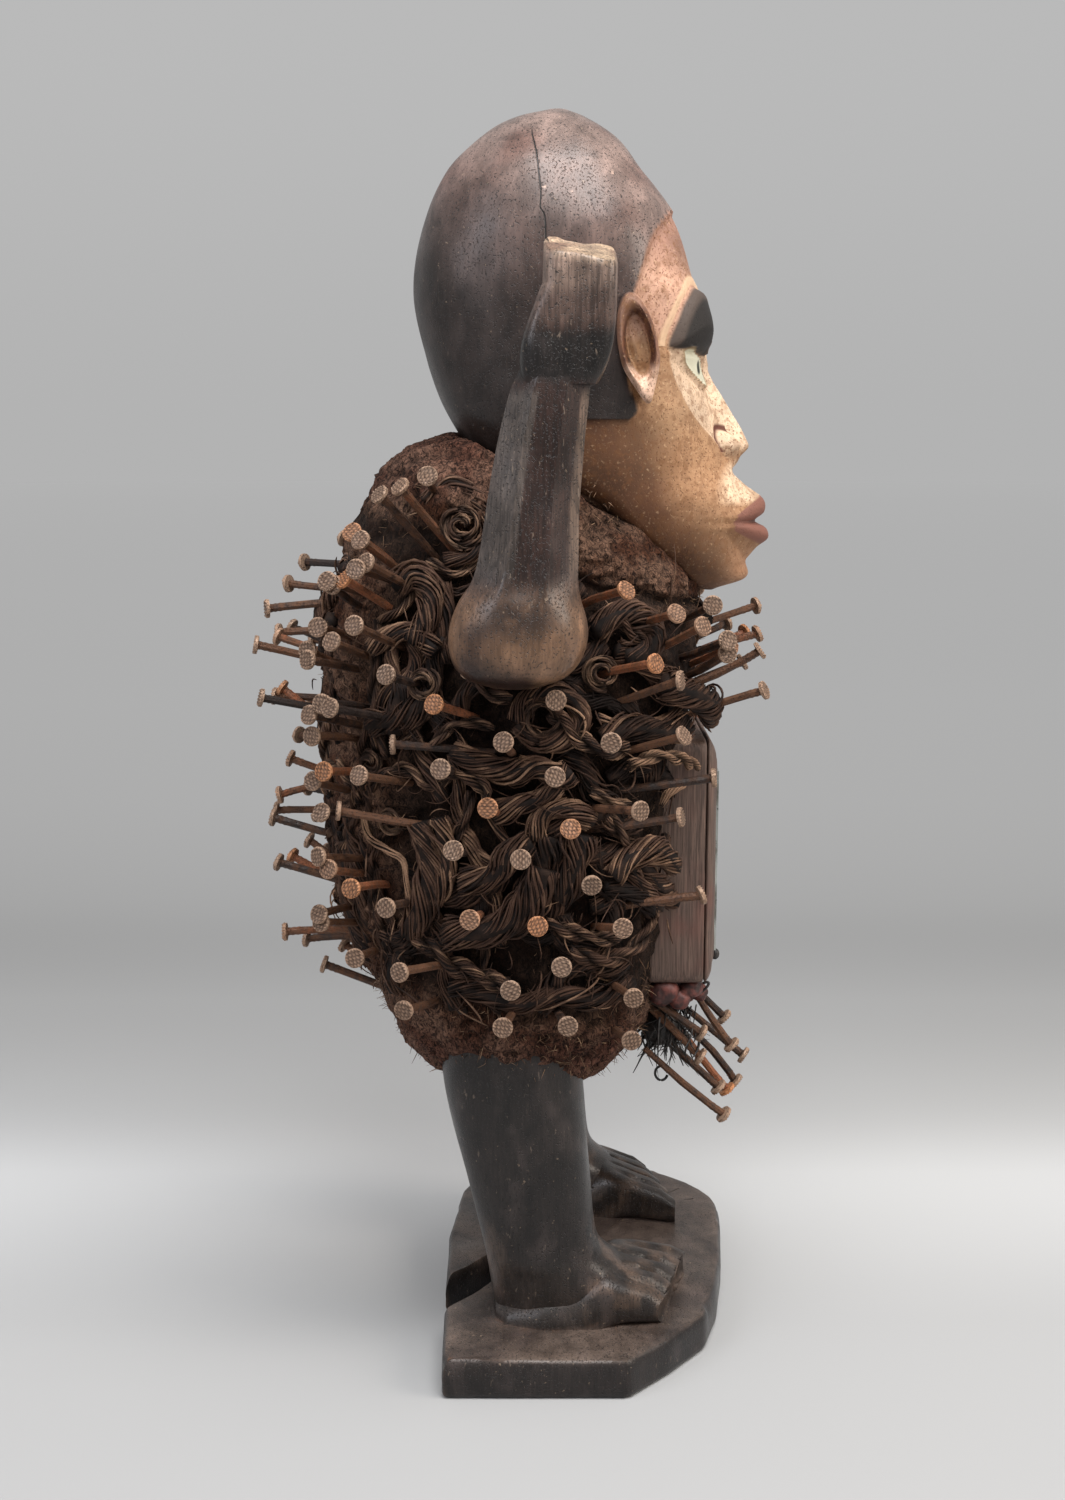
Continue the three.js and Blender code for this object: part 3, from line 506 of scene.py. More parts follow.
def mouth_height(across, up):
    """Height over the mouth's line, stretched towards the corners, so that the lips run out there."""
    return MOUTH_LINE + (up - MOUTH_LINE) / np.clip(1.02 - (across / (LIP_HALF_WIDTH + 5)) ** 2.2, 0.3, 1)


def nostril_share(across, up):
    """How far from the middle of the nostril's wing a place lies: 1 on the wing's edge."""
    return np.hypot((across - NOSTRIL["side"]) / NOSTRIL["half_width"],
                    (up - NOSTRIL["up"]) / NOSTRIL["half_height"])


def mouth_share(side, up):
    """How far from the middle of the raised field round the mouth a place lies: 1 on its edge."""
    return np.hypot(side / MUZZLE["half_width"], (up - MUZZLE["up"]) / MUZZLE["half_height"])


def face_relief(side, up):
    """The face's carving, as a reach ahead of the plain head."""
    across = np.abs(side)
    nose = nose_relief(up) * bump(side, nose_half_width(up), 2.4)
    wing_share = nostril_share(across, up)
    wing = NOSTRIL["relief"] * (1 - step(0.35, 1.15, wing_share)) - 0.6 * bump(wing_share - 1.3, 0.2)
    narrowed = mouth_height(across, up)
    lips = lip_relief(narrowed) * bump(side, LIP_HALF_WIDTH, 2.6)
    around_mouth = mouth_share(side, up)
    muzzle = MUZZLE["relief"] * (1 - step(0.78, 1.06, around_mouth))
    depth = np.minimum(*brow_edges(across, up))
    brow = BROW["relief"] * step(-0.6, 1.3, depth) * (0.55 + 0.45 * step(0, 10, depth))
    ledge = 0.7 * bump(depth + 2.4, 1.5)
    share = eye_share(across, up)
    eyeball = EYE["relief"] * np.sqrt(np.clip(1 - (share / 1.25) ** 2, 0, 1))
    lids = 0.9 * bump(share - 1.08, 0.16) - 0.5 * bump(share - 0.9, 0.1)
    edge = pale_flat_edge(up)
    beside_nose = (1 - step(edge - 2.5, edge + 0.6, across)) * step(336, 344, up)
    socket = -1.6 * beside_nose * (1 - step(374, 378, up))
    hollow_cheek = -1.2 * bump(across - 24, 9) * bump(up - 330, 9)
    return nose + wing + lips + muzzle + brow + ledge + eyeball + lids + socket + hollow_cheek


def hair_depth(ahead, up):
    """How deep inside the cap of hair a place lies, in millimetres. The cap's foot is level beside
    the ear and drops into the nape."""
    foot = HAIR_FOOT - NAPE_DROP * step(-6, -22, ahead)
    return np.minimum(hairline(up) - ahead, up - foot)


def head_rings(rows, around):
    """The head: rings crowded towards the face, its carving, and the step of the cap of hair."""
    face_levels = np.linspace(286, 402, int(rows * 0.74), endpoint=False)
    crown = 402 + 58 * np.sin(np.linspace(0, np.pi / 2, rows - len(face_levels)))
    up = np.concatenate([face_levels, crown])[:, None]
    even = turns(around)
    turn = even - FRONT_CROWDING * np.sin(even)
    rings = oval(up, turn, head_middle(up), face_front(up), head_back(up), head_half_width(up),
                 squareness=HEAD_SQUARENESS)
    side, ahead = rings[..., 0], -rings[..., 1]
    level = np.broadcast_to(up, side.shape)
    hair = hair_depth(ahead, level)
    out = unit(rings - place(0, head_middle(level), level))
    in_front = step(0, 6, ahead - head_middle(level)) * (1 - step(-0.5, 0.6, hair))
    rings[..., 1] -= face_relief(side, level) * in_front
    lift = HAIR_STEP * step(-0.7, 0.5, hair) + 0.45 * noise(rings, 22, 3) + 0.22 * noise(rings, 8, 4)
    return rings + out * lift[..., None]


def ear_rings(hand):
    """A leaf-shaped ear: rings from its middle out to its rim over the carved bowl, then back inside
    the head. The rim is a ridge, and the bowl sinks behind it."""
    turn = turns(72)
    share = np.concatenate([np.linspace(0.04, 1, 22), [0.9, 0.5, 0.1]])[:, None]
    outer = np.arange(len(share))[:, None] < 22
    pointed = 1 - 0.42 * step(0.2, 1, -np.cos(turn))
    along = np.sin(turn) * share * EAR["half_length"] * pointed
    above = np.cos(turn) * share * EAR["half_height"]
    lean = math.radians(EAR["lean"])
    ahead = EAR["ahead"] + along * math.cos(lean) - above * math.sin(lean)
    up = EAR["up"] + above * math.cos(lean) + along * math.sin(lean)
    bowl = step(-15, -6, above)
    rim = 1.9 * bump(share - 0.84, 0.13) * (0.4 + 0.6 * bowl)
    shell = 2.2 * np.sqrt(np.clip(1 - share ** 6, 0, 1)) + rim
    hollow = -3.4 * (1 - step(0.45, 0.74, share)) * bowl + 1.4 * bump(along + 1.5, 1.6) * bowl * (1 - share)
    notch = -1.6 * bump(above + 8, 2.2) * (1 - step(0.5, 0.8, share))
    head_side = EAR["side"] + 2.0 - 0.05 * above
    out = np.where(outer, head_side + shell + hollow + notch, EAR["side"] - 6)
    return place(hand * out, ahead, up)


def loft(stations, rows, around, facets=0.0, squareness=2.4, side=0.0):
    """A limb through stations of up, back, front, half width and, where it isn't even, side. Facets
    from 0 to 1 draw its rings towards eight flats, whose corners lie on the smooth ring."""
    table = np.array(stations, float)
    order = np.argsort(table[:, 0])
    up = np.linspace(table[:, 0].min(), table[:, 0].max(), rows)
    sizes = (through(table[order][:, [0, k]]) for k in range(1, table.shape[1]))
    back, front, half, *sides = (size(up)[:, None] for size in sizes)
    sides = sides[0] if sides else side
    turn = turns(around)
    rings = oval(up[:, None], turn, (front + back) / 2, front, back, half, sides, squareness)
    if facets:
        corner = np.pi / 4
        from_middle = np.abs((turn + corner / 2) % corner - corner / 2)
        flat = np.cos(corner / 2) / np.cos(from_middle)
        middle = place(sides, (front + back) / 2, up[:, None])
        rings = middle + (rings - middle) * (1 + facets * (flat - 1))[:, None]
    return rings


def limb(stations, rows, around):
    """A round limb through places given as side, ahead, up and radius, with rings square to its way."""
    table = np.array(stations, float)
    where = np.linspace(0, len(table) - 1, rows)
    centres = np.stack([np.interp(where, np.arange(len(table)), table[:, k]) for k in range(3)], -1)
    radius = np.interp(where, np.arange(len(table)), table[:, 3])
    path = place(centres[:, 0], centres[:, 1], centres[:, 2])
    along = unit(np.gradient(path, axis=0))
    across = unit(np.cross(along, [0.0, 1.0, 0.1]))
    other = np.cross(along, across)
    turn = turns(around)[:, None]
    ring = across[:, None] * np.cos(turn) + other[:, None] * np.sin(turn)
    return path[:, None] + radius[:, None, None] * ring


def ball(side, ahead, up, width, length, height, lean=0.0, rows=28, around=40):
    """An egg-shaped ball, leaning in the plane seen from the side."""
    fall = np.linspace(0.05, np.pi - 0.05, rows)[:, None]
    turn = turns(around)
    x = np.sin(fall) * np.cos(turn) * width
    y = np.sin(fall) * np.sin(turn) * length
    z = np.broadcast_to(np.cos(fall) * height, x.shape)
    angle = math.radians(lean)
    return place(side + x, ahead + y * math.cos(angle) - z * math.sin(angle),
                 up + z * math.cos(angle) + y * math.sin(angle))


def forearm_rings():
    """The forearm, cut in eight flats that run out into the round elbow, with the adze's small dips."""
    rings = loft(FOREARM, 130, 112, facets=1, side=RAISED_ARM_SIDE, squareness=2.1)
    round_rings = loft(FOREARM, 130, 112, side=RAISED_ARM_SIDE, squareness=2.15)
    share = step(284, 302, rings[..., 2:])
    rings = round_rings + (rings - round_rings) * share
    middle = place(RAISED_ARM_SIDE, -27, rings[..., 2])
    return rings + unit(rings - middle) * (0.45 * noise(rings * [1, 1, 0.4], 7, 23))[..., None]


def fist_rings():
    """The blocky fist with its sloping raw top, whose middle is closed by ever smaller rings."""
    body = loft(FIST, 44, 96, squareness=5, side=RAISED_ARM_SIDE)
    _, back, front, half_width = FIST[-1]
    slope = (FIST_TOP["back"] - FIST_TOP["front"]) / (front - back)
    middle = (back + front) / 2
    up = (FIST_TOP["back"] + FIST_TOP["front"]) / 2
    shrink = np.array([1, 0.985, 0.93, 0.7, 0.45, 0.2])[:, None]
    drop = np.array([-3.0, -0.9, 0, 0.15, 0.25, 0.2])[:, None]
    top = oval(up + drop, turns(96), middle, middle + (front - middle) * shrink,
               middle - (middle - back) * shrink, half_width * shrink, RAISED_ARM_SIDE, 5, slope)
    top[..., 2] += FIST_TOP["aside"] * (top[..., 0] - RAISED_ARM_SIDE)
    rings = np.concatenate([body[:-1], top])
    chips = np.clip(noise(rings, 6, 21) - 0.25, 0, 1) * step(395, 401, rings[..., 2]) * 2.6
    rings[..., 2] -= chips
    rings[..., 0] += 0.45 * noise(rings, 9, 22)
    rings[..., 1] += 0.45 * noise(rings, 8, 24)
    return rings


def foot_rings(hand):
    """A foot from heel to toes as rings across it: a block with rounded shoulders, whose front is
    parted into toes by grooves and rounded over at the tips."""
    table = np.array(FOOT, float)
    rows = 46
    where = np.linspace(0, len(table) - 1, rows)
    order = np.arange(len(table))
    ahead, inner, outer, top = (np.interp(where, order, table[:, k])[:, None] for k in range(4))
    share = (ahead - ahead.min()) / (ahead.max() - ahead.min())
    turn = turns(96)
    sine, cosine = np.sin(turn), np.cos(turn)
    blockiness = 2.3 + 2.2 * step(0.45, 0.75, share)
    reach = (np.abs(sine) ** blockiness + np.abs(cosine) ** blockiness) ** (-1 / blockiness)
    x = sine * reach
    z = np.clip(cosine * reach, -1, 1)
    offset = (inner + outer) / 2 + x * (outer - inner) / 2
    splay = where[:, None] ** 2 / (len(table) - 1) ** 2 * TOE_SPLAY
    across = (outer - offset) / (outer - inner)
    front = ahead + splay * across
    middle = (top + BASE_HEIGHT - 1) / 2
    up = middle + z * (top - BASE_HEIGHT + 1) / 2
    flared = BASE_HEIGHT - 2 + np.maximum(z, -0.15) * (top - BASE_HEIGHT + 2)
    up = flared + (up - flared) * step(0.5, 0.8, share)
    toe = (across * TOES) % 1
    groove = bump(np.minimum(toe, 1 - toe), 0.11) * step(0.66, 0.9, share) * step(0.1, 0.5, z)
    inside = (across > 0.06) & (across < 0.94)
    up = up - np.where(inside, 4 * groove, 0)
    tip = step(0.93, 1, share) * step(-0.2, 1, z)
    up = up - 2.4 * tip
    front = front + 1.4 * np.sin(np.pi * toe) * step(0.9, 1, share)
    return place(FOOT_SIDES[hand] + hand * offset, front, up)


def outline_around(corners, count, softness):
    """Even points along a closed outline of straight runs, its corners softened by averaging."""
    closed = np.array(corners + corners[:1], float)
    run = np.concatenate([[0], np.cumsum(np.linalg.norm(np.diff(closed, axis=0), axis=1))])
    even = np.linspace(0, run[-1], count, endpoint=False)
    outline = np.stack([np.interp(even, run, closed[:, k]) for k in (0, 1)], -1)
    for _ in range(softness):
        outline = (outline + np.roll(outline, 1, 0) + np.roll(outline, -1, 0)) / 3
    return outline


def base_rings():
    """The base: a slab on its irregular outline, whose rings are drawn in square to it at the worn
    edges and nicked by noise."""
    outline = outline_around(BASE_OUTLINE, 460, 3)
    way = unit(np.roll(outline, -1, 0) - np.roll(outline, 1, 0))
    inward = np.stack([-way[:, 1], way[:, 0]], -1)
    levels = np.array([0, 0.4, 1.0, 2.4, 5, 7.5, 10, 12.4, 13.6, 14.5, 14.9, 15, 15, 15, 15])
    insets = np.array([2.0, 1.0, 0.4, 0, 0.1, 0.0, 0.2, 0.3, 0.8, 1.5, 2.3, 4, 9, 20, 36])
    flat = outline[None] + inward[None] * insets[:, None, None]
    rings = place(flat[..., 0], flat[..., 1], levels[:, None])
    nicks = np.clip(noise(rings, 11, 31) - 0.3, 0, 1) * step(9, 14, rings[..., 2]) * 2.2
    worn = (nicks + 0.3 * noise(rings, 16, 32)) * step(40, 6, insets)[:, None]
    rings[..., 0] += inward[None, :, 0] * worn
    rings[..., 1] -= inward[None, :, 1] * worn
    top = step(14.5, 15, levels)[:, None]
    rings[..., 2] += top * (0.35 * noise(rings, 13, 33) - 0.15)
    return rings


def notch_rings():
    """The notch's own shape, a little higher than the base and opening a little towards its top."""
    outline = outline_around(BASE_NOTCH, 120, 2)
    middle = outline.mean(axis=0)
    rings = [place(*(middle + (outline - middle) * grow).T, up)
             for up, grow in ((-2, 1.0), (0, 1.0), (12, 1.0), (14, 1.02), (17, 1.09))]
    rings = np.stack(rings)
    rings[..., :2] += 0.25 * noise(rings, 7, 34)[..., None]
    return rings


def joined_skin(first, steps):
    """One closed skin from a first mesh and steps, each a way of joining and another closed mesh."""
    whole = bpy.data.objects.new("carving", first)
    bpy.context.scene.collection.objects.link(whole)
    for way, mesh in steps:
        part = bpy.data.objects.new("part", mesh)
        bpy.context.scene.collection.objects.link(part)
        join = whole.modifiers.new("join", "BOOLEAN")
        join.operation, join.solver, join.object = way, "MANIFOLD", part
        bpy.context.view_layer.update()
        joined = bpy.data.meshes.new_from_object(whole.evaluated_get(bpy.context.evaluated_depsgraph_get()))
        whole.modifiers.clear()
        whole.data = joined
        bpy.data.objects.remove(part)
    mesh = whole.data
    bpy.data.objects.remove(whole)
    return mesh


def edge_bend(mesh):
    """How far the skin round each point falls away from its tangent plane, averaged over its edges
    and smoothed twice: above 0 on worn ridges, below 0 in carved hollows."""
    points = mesh_points(mesh)
    normals = np.empty(len(points) * 3, np.float32)
    mesh.vertices.foreach_get("normal", normals)
    normals = normals.reshape(-1, 3)
    edges = np.empty(len(mesh.edges) * 2, np.int32)
    mesh.edges.foreach_get("vertices", edges)
    one, other = edges.reshape(-1, 2).T
    way = points[other] - points[one]
    length = np.maximum(np.linalg.norm(way, axis=1), 0.2)
    total = np.zeros(len(points))
    count = np.zeros(len(points))
    for here, sign in ((one, 1), (other, -1)):
        np.add.at(total, here, -np.einsum("ij,ij->i", way * sign, normals[here]) / length ** 1.5)
        np.add.at(count, here, 1)
    bend = total / np.maximum(count, 1)
    for _ in range(2):
        spread = np.zeros(len(points))
        np.add.at(spread, one, bend[other])
        np.add.at(spread, other, bend[one])
        bend = 0.5 * bend + 0.5 * spread / np.maximum(count, 1)
    return bend


def mix(under, over, share):
    """Colours blended by a share for each point."""
    return under + (np.asarray(over) - under) * np.asarray(share)[:, None]


def figure_tones(points):
    """The figure's colours, laid over each other: dark handled wood, worn places and the painted face,
    with painted light and shade on the skull, the forearm's facets, the fist's upper band, the jaw and
    the ear's bowl. Also how much of each place is painted, and how strongly the grain shows there."""
    side, ahead, up = points[:, 0], -points[:, 1], points[:, 2]
    across = np.abs(side)
    patchy = noise(points, 14, 42) * 0.5 + 0.5
    fine = noise(points, 5, 43) * 0.5 + 0.5
    arm = step(64, 68, across) * (side < 0) * step(255, 258, up)
    head = step(284, 287, up) * (1 - step(60, 64, across))
    on_base = 1 - step(14.6, 16.2, up)
    foot = (1 - step(36, 44, up)) * (1 - on_base)
    low_leg = (1 - step(40, 62, up)) * (1 - on_base)
    # The skull's painted light: this share makes it paler towards the top and front, darker towards the back
    # and low down
    lit = (up - 392) / 62 + (ahead + 6) / 120
    over_arm = (ahead - arm_back(up)) / (arm_front(up) - arm_back(up))
    forearm = arm * step(292, 304, up) * (1 - step(356, 361, up))
    wood = [
        ("#2a211d", 1), ("#1d1816", 1 - step(110, 160, up)), ("#2b2420", foot * 0.8),
        ("#4c3d33", low_leg * step(0.45, 0.75, fine) * step(0, 8, np.abs(ahead + 18) - 12)),
        ("#1f1917", on_base), ("#3d332e", step(13.2, 14.6, up) * on_base),
        ("#62544b", step(13.8, 14.9, up) * on_base * step(0.25, 0.8, patchy) * 0.8),
        # Painted light and shade on the skull, by the lit share; its reddish patches follow that share too
        ("#2b2320", head), ("#5d4b45", head * step(-0.45, 0.55, lit)),
        ("#8a766d", head * step(0.1, 0.9, lit) * 0.5),
        ("#5a3c33", head * step(0.45, 0.95, patchy) * step(-0.1, 0.6, lit) * 0.6),
        # The forearm's grey back facet and pale thin front facet are painted sheen, lighter where light
        # falls on them
        ("#291a15", arm), ("#4a423d", forearm * (1 - step(0.36, 0.40, over_arm)) * (0.55 + 0.45 * patchy)),
        ("#615044", forearm * step(0.86, 0.90, over_arm) * 0.8),
        ("#86664e", arm * (1 - step(280, 300, up)) * step(0.1, 0.6, patchy) * 0.85),
        ("#261b17", arm * bump(up - 285, 8) * bump(ahead + 27, 14, 4) * step(0.05, 0.4, fine) * 0.9),
        ("#1b1614", arm * step(360, 364, up) * (1 - step(375, 381, up))),
        # The paler grey-brown band below the fist's top is a painted highlight
        ("#4c3c35", arm * step(376, 383, up)), ("#6d5b51", arm * step(389, 396, up + 3 * fine)),
        ("#a08870", arm * step(-1.2, -0.5, up - raw_top(side, ahead))),
        ("#6b5344", arm * step(-0.5, 0.0, up - raw_top(side, ahead)) * step(0.3, 0.7, fine)),
    ]
    hair = hair_depth(ahead, up)
    face = head * (1 - step(-0.6, 0.6, hair)) * (across < 46)
    # How far a place lies in front of the line of the jaw, which runs from under the ear to the chin
    before_jaw = ((ahead - 5) * 64 + (up - 350) * 42) / 76.5
    pale_flat = (1 - step(-1.6, 0.5, across - pale_flat_edge(up))) * step(334, 340, up)
    pale_flat *= 1 - step(375, 379, up)
    around_mouth = mouth_share(side, up)
    over_lip = (1 - step(0.78, 1.0, around_mouth)) * step(317, 321, up) * (ahead > 40)
    skin = [
        # The cream top of the cheek is partly its paint and partly painted light; the dark brown behind the
        # jaw line is painted shade
        ("#9c7554", 1), ("#bb936d", bump(up - 352, 13) * step(4, 20, before_jaw) * 0.8),
        ("#63422d", 1 - step(-6, 13, before_jaw + 5 * (fine - 0.5))),
        ("#7d5638", step(0.4, 0.9, patchy) * 0.35),
        ("#a77c5d", bump(up - 293, 10) * step(44, 54, ahead) * 0.8),
        ("#bd937c", step(374, 382, up)), ("#96705f", step(396, 414, up)),
        ("#a8745f", (1 - step(4, 16, across)) * step(390, 398, up) * 0.7),
        ("#dcbfa2", pale_flat * (0.78 + 0.22 * fine)), ("#dfc0a0", over_lip),
    ]
    before_ear = ahead - EAR["ahead"]
    leaf = np.hypot(before_ear / (EAR["half_length"] + 2), (up - EAR["up"]) / (EAR["half_height"] + 1))
    ear = (1 - step(0.98, 1.06, leaf)) * step(EAR["side"] + 1.6, EAR["side"] + 2.4, across)
    bowl = (1 - step(0.42, 0.66, leaf)) * step(-14, -10, up - EAR["up"])
    ear_parts = [
        ("#8a6552", 1), ("#4f2819", 1 - step(0.6, 0.74, leaf)), ("#3a1c12", bowl),
        # The near black streak in the ear's bowl is painted shade for its crevice
        ("#1a0d09", bowl * bump(before_ear + 1.6, 2.8)), ("#6d3d2b", bowl * bump(before_ear - 2.2, 1.2)),
        ("#d9b49c", 1 - step(-10, -4, up - EAR["up"])),
    ]
    tone = layered(wood, points)
    tone = mix(tone, layered(skin, points), face)
    tone = mix(tone, layered(ear_parts, points), ear)
    grain = 0.25 - 0.2 * face + 0.55 * arm * (0.2 + 0.8 * step(284, 300, up))
    grain = np.clip(grain + 0.3 * (1 - step(110, 160, up)) - 0.25 * step(14, 15, up) * on_base, 0, 1)
    return tone, np.clip(face + ear, 0, 1), grain


def layered(layers, points):
    """Colours laid one over the other, each as strongly as its share says."""
    tone = np.zeros((len(points), 3))
    for value, share in layers:
        tone = mix(tone, tint(value), np.broadcast_to(share, len(points)))
    return tone


def raw_top(side, ahead):
    """The height of the fist's raw sloping top over a place."""
    _, back, front, _ = FIST[-1]
    fall = (FIST_TOP["back"] - FIST_TOP["front"]) / (front - back)
    middle_up = (FIST_TOP["back"] + FIST_TOP["front"]) / 2
    return middle_up - fall * (ahead - (back + front) / 2) + FIST_TOP["aside"] * (side - RAISED_ARM_SIDE)


def paint_marks(points):
    """The painted marks as distances in millimetres, above 0 inside each mark, so that the shader
    can draw their edges sharper than the mesh is. The crack is the distance to either side of its
    line, and cracked is where along that line it lies open. The mouth's line, the nostril's crease and
    the open crack are drawn dark as painted shade."""
    side, ahead, up = points[:, 0], -points[:, 1], points[:, 2]
    across = np.abs(side)
    in_front = np.where((ahead > 14) & (up > 284) & (across < 46), 0.0, -50.0)
    arch, level = brow_edges(across, up)
    share = eye_share(across, up)
    pupil = 1 - np.hypot((across - 17.8) / 1.3, (up - EYE["up"]) / 2.6)
    narrowed = mouth_height(across, up)
    lips = np.minimum(np.minimum(321.3 - narrowed, narrowed - 302.8), 19 - across)
    wing_share = nostril_share(across, up)
    # A ring round the nostril's wing, which the shader paints dark as shade in its crease
    crease = 0.9 - np.abs(wing_share - 1.3) * 3.4
    chips = [radius - np.hypot(ahead - middle, up - height) for middle, height, radius in SKULL_CHIPS]
    at_mouth = np.where(ahead > 42, 0, -50)
    return {
        "arch": np.where(level > -0.5, arch, -50) + in_front,
        "brow": np.minimum(arch, level) + in_front,
        "brow_dark": np.minimum(arch - 2.6, level) + in_front,
        "eye": (1 - share) * EYE["half_height"] + in_front,
        "pupil": pupil * 1.5 + in_front,
        "lips": lips + at_mouth,
        # The mouth's line, which the shader paints dark as shade in its groove
        "mouth": 0.5 - np.abs(narrowed - MOUTH_LINE) - np.clip(across - 17.5, 0, 9) + at_mouth,
        # The nostril's crease, painted dark as shade
        "nostril": np.where((across > 5.5) & (up > 337), crease, -5) + in_front,
        # The crack's line, which the shader paints near black as shade in its gap
        "crack": ahead - crack_line(up) + 0.35 * noise(points, 4, 47),
        "cracked": step(404, 408, up) * (1 - step(447, 453, up)) * (side < -8),
        "chips": np.max(chips, axis=0) + np.where(side < -20, 1.1 * noise(points, 2.1, 48), -50),
    }


def carve_figure():
    """The whole carving as one skin, with its colours, marks, wear and hollows kept on its points."""
    shapes = [
        forearm_rings(), fist_rings(),
        limb([(RAISED_ARM_SIDE, ELBOW["ahead"], ELBOW["up"], 14), SHOULDER], 16, 40),
        limb(LOWERED_UPPER_ARM, 34, 48), limb(LOWERED_FOREARM, 30, 48),
        ball(*LOWERED_ELBOW[:3], *[LOWERED_ELBOW[3]] * 3),
        ball(HAND["side"], HAND["ahead"], HAND["up"], HAND["width"], HAND["length"], HAND["height"], -30),
    ]
    for hand, column in ((RIGHT, 4), (LEFT, 5)):
        shapes += [loft([station[:4] + (station[column],) for station in LEGS], 64, 72), foot_rings(hand)]
    levels = np.array([112, 130, 165, 215, 255, 290, 318.0])[:, None]
    neck = np.array([NECK["bottom"], NECK["top"]], float)[:, None]
    shapes += [
        coat_rings(levels, turns(28), -COAT_THICKNESS),
        oval(neck, turns(28), NECK["ahead"], NECK["ahead"] + NECK["radius"], NECK["ahead"] - NECK["radius"],
             NECK["radius"]),
        head_rings(180, 240), ear_rings(RIGHT), ear_rings(LEFT),
    ]
    steps = [("DIFFERENCE", notch_rings())] + [("UNION", rings) for rings in shapes]
    mesh = joined_skin(build_mesh("carving", *closed_skin(base_rings())),
                       [(way, build_mesh("part", *closed_skin(rings))) for way, rings in steps])
    mesh.polygons.foreach_set("use_smooth", np.ones(len(mesh.polygons), bool))
    mesh.set_sharp_from_angle(angle=math.radians(42))
    points = mesh_points(mesh)
    tone, painted, grain = figure_tones(points)
    bend = edge_bend(mesh)
    store(mesh, "tone", tone)
    store(mesh, "painted", painted)
    store(mesh, "grain", grain)
    store(mesh, "wear", step(0.10, 0.42, bend))
    # Hollows, where the shader paints shade near black, turning brown low down at the feet and base
    store(mesh, "hollow", step(0.08, 0.40, -bend))
    for name, distance in paint_marks(points).items():
        store(mesh, name, distance)
    return mesh


# The coat

def coat_rings(level, turn, grow):
    """The coat's sloping rings at the given levels, grown outwards."""
    return oval(level, turn, TRUNK_MIDDLE, coat_front(level) + grow, coat_back(level) - grow,
                coat_half_width(level) + grow, squareness=COAT_SQUARENESS, slope=collar_slope(level))


def on_coat(hand, ahead, up):
    """Points on the coat at places seen from the side, and the level way straight out of it there.
    The level of the sloping ring through a place is found by repeating its own rule."""
    ahead, up = np.asarray(ahead, float), np.asarray(up, float)
    level = up
    for _ in range(8):
        level = up + collar_slope(level) * (ahead - TRUNK_MIDDLE)
    from_middle = ahead - TRUNK_MIDDLE
    reach = np.where(from_middle > 0, coat_front(level) - TRUNK_MIDDLE, TRUNK_MIDDLE - coat_back(level))
    along = np.minimum(np.abs(from_middle) / reach, 0.995)
    across = (1 - along ** COAT_SQUARENESS) ** (1 / COAT_SQUARENESS)
    half_width = coat_half_width(level)
    held = TRUNK_MIDDLE + np.sign(from_middle) * along * reach
    out = np.stack([
        hand * across ** (COAT_SQUARENESS - 1) / half_width,
        -np.sign(from_middle) * along ** (COAT_SQUARENESS - 1) / reach,
        np.zeros_like(along),
    ], -1)
    return place(hand * across * half_width, held, up), unit(out)


def at_turn(turn, up):
    """The same for turns about the trunk in degrees from straight ahead towards the right side."""
    angle = np.radians(np.asarray(turn, float))
    sine, cosine = np.sin(angle), np.cos(angle)
    reach = (np.abs(sine) ** COAT_SQUARENESS + np.abs(cosine) ** COAT_SQUARENESS) ** (-1 / COAT_SQUARENESS)
    span = np.where(cosine > 0, coat_front(up) - TRUNK_MIDDLE, TRUNK_MIDDLE - coat_back(up))
    return on_coat(np.where(sine > 0, RIGHT, LEFT), TRUNK_MIDDLE + cosine * reach * span, up)


def corded_share(points):
    """How far a place lies within the belt of cords and nails, where the coat is pressed in: 1 in the
    middle of each side, 0 along the back, at the collar and at the lower edge."""
    ahead, up = -points[..., 1], points[..., 2]
    below_collar = 1 - step(292, 304, up + 0.35 * (ahead - TRUNK_MIDDLE))
    return step(-84, -64, ahead) * step(128, 146, up + 0.12 * ahead) * below_collar


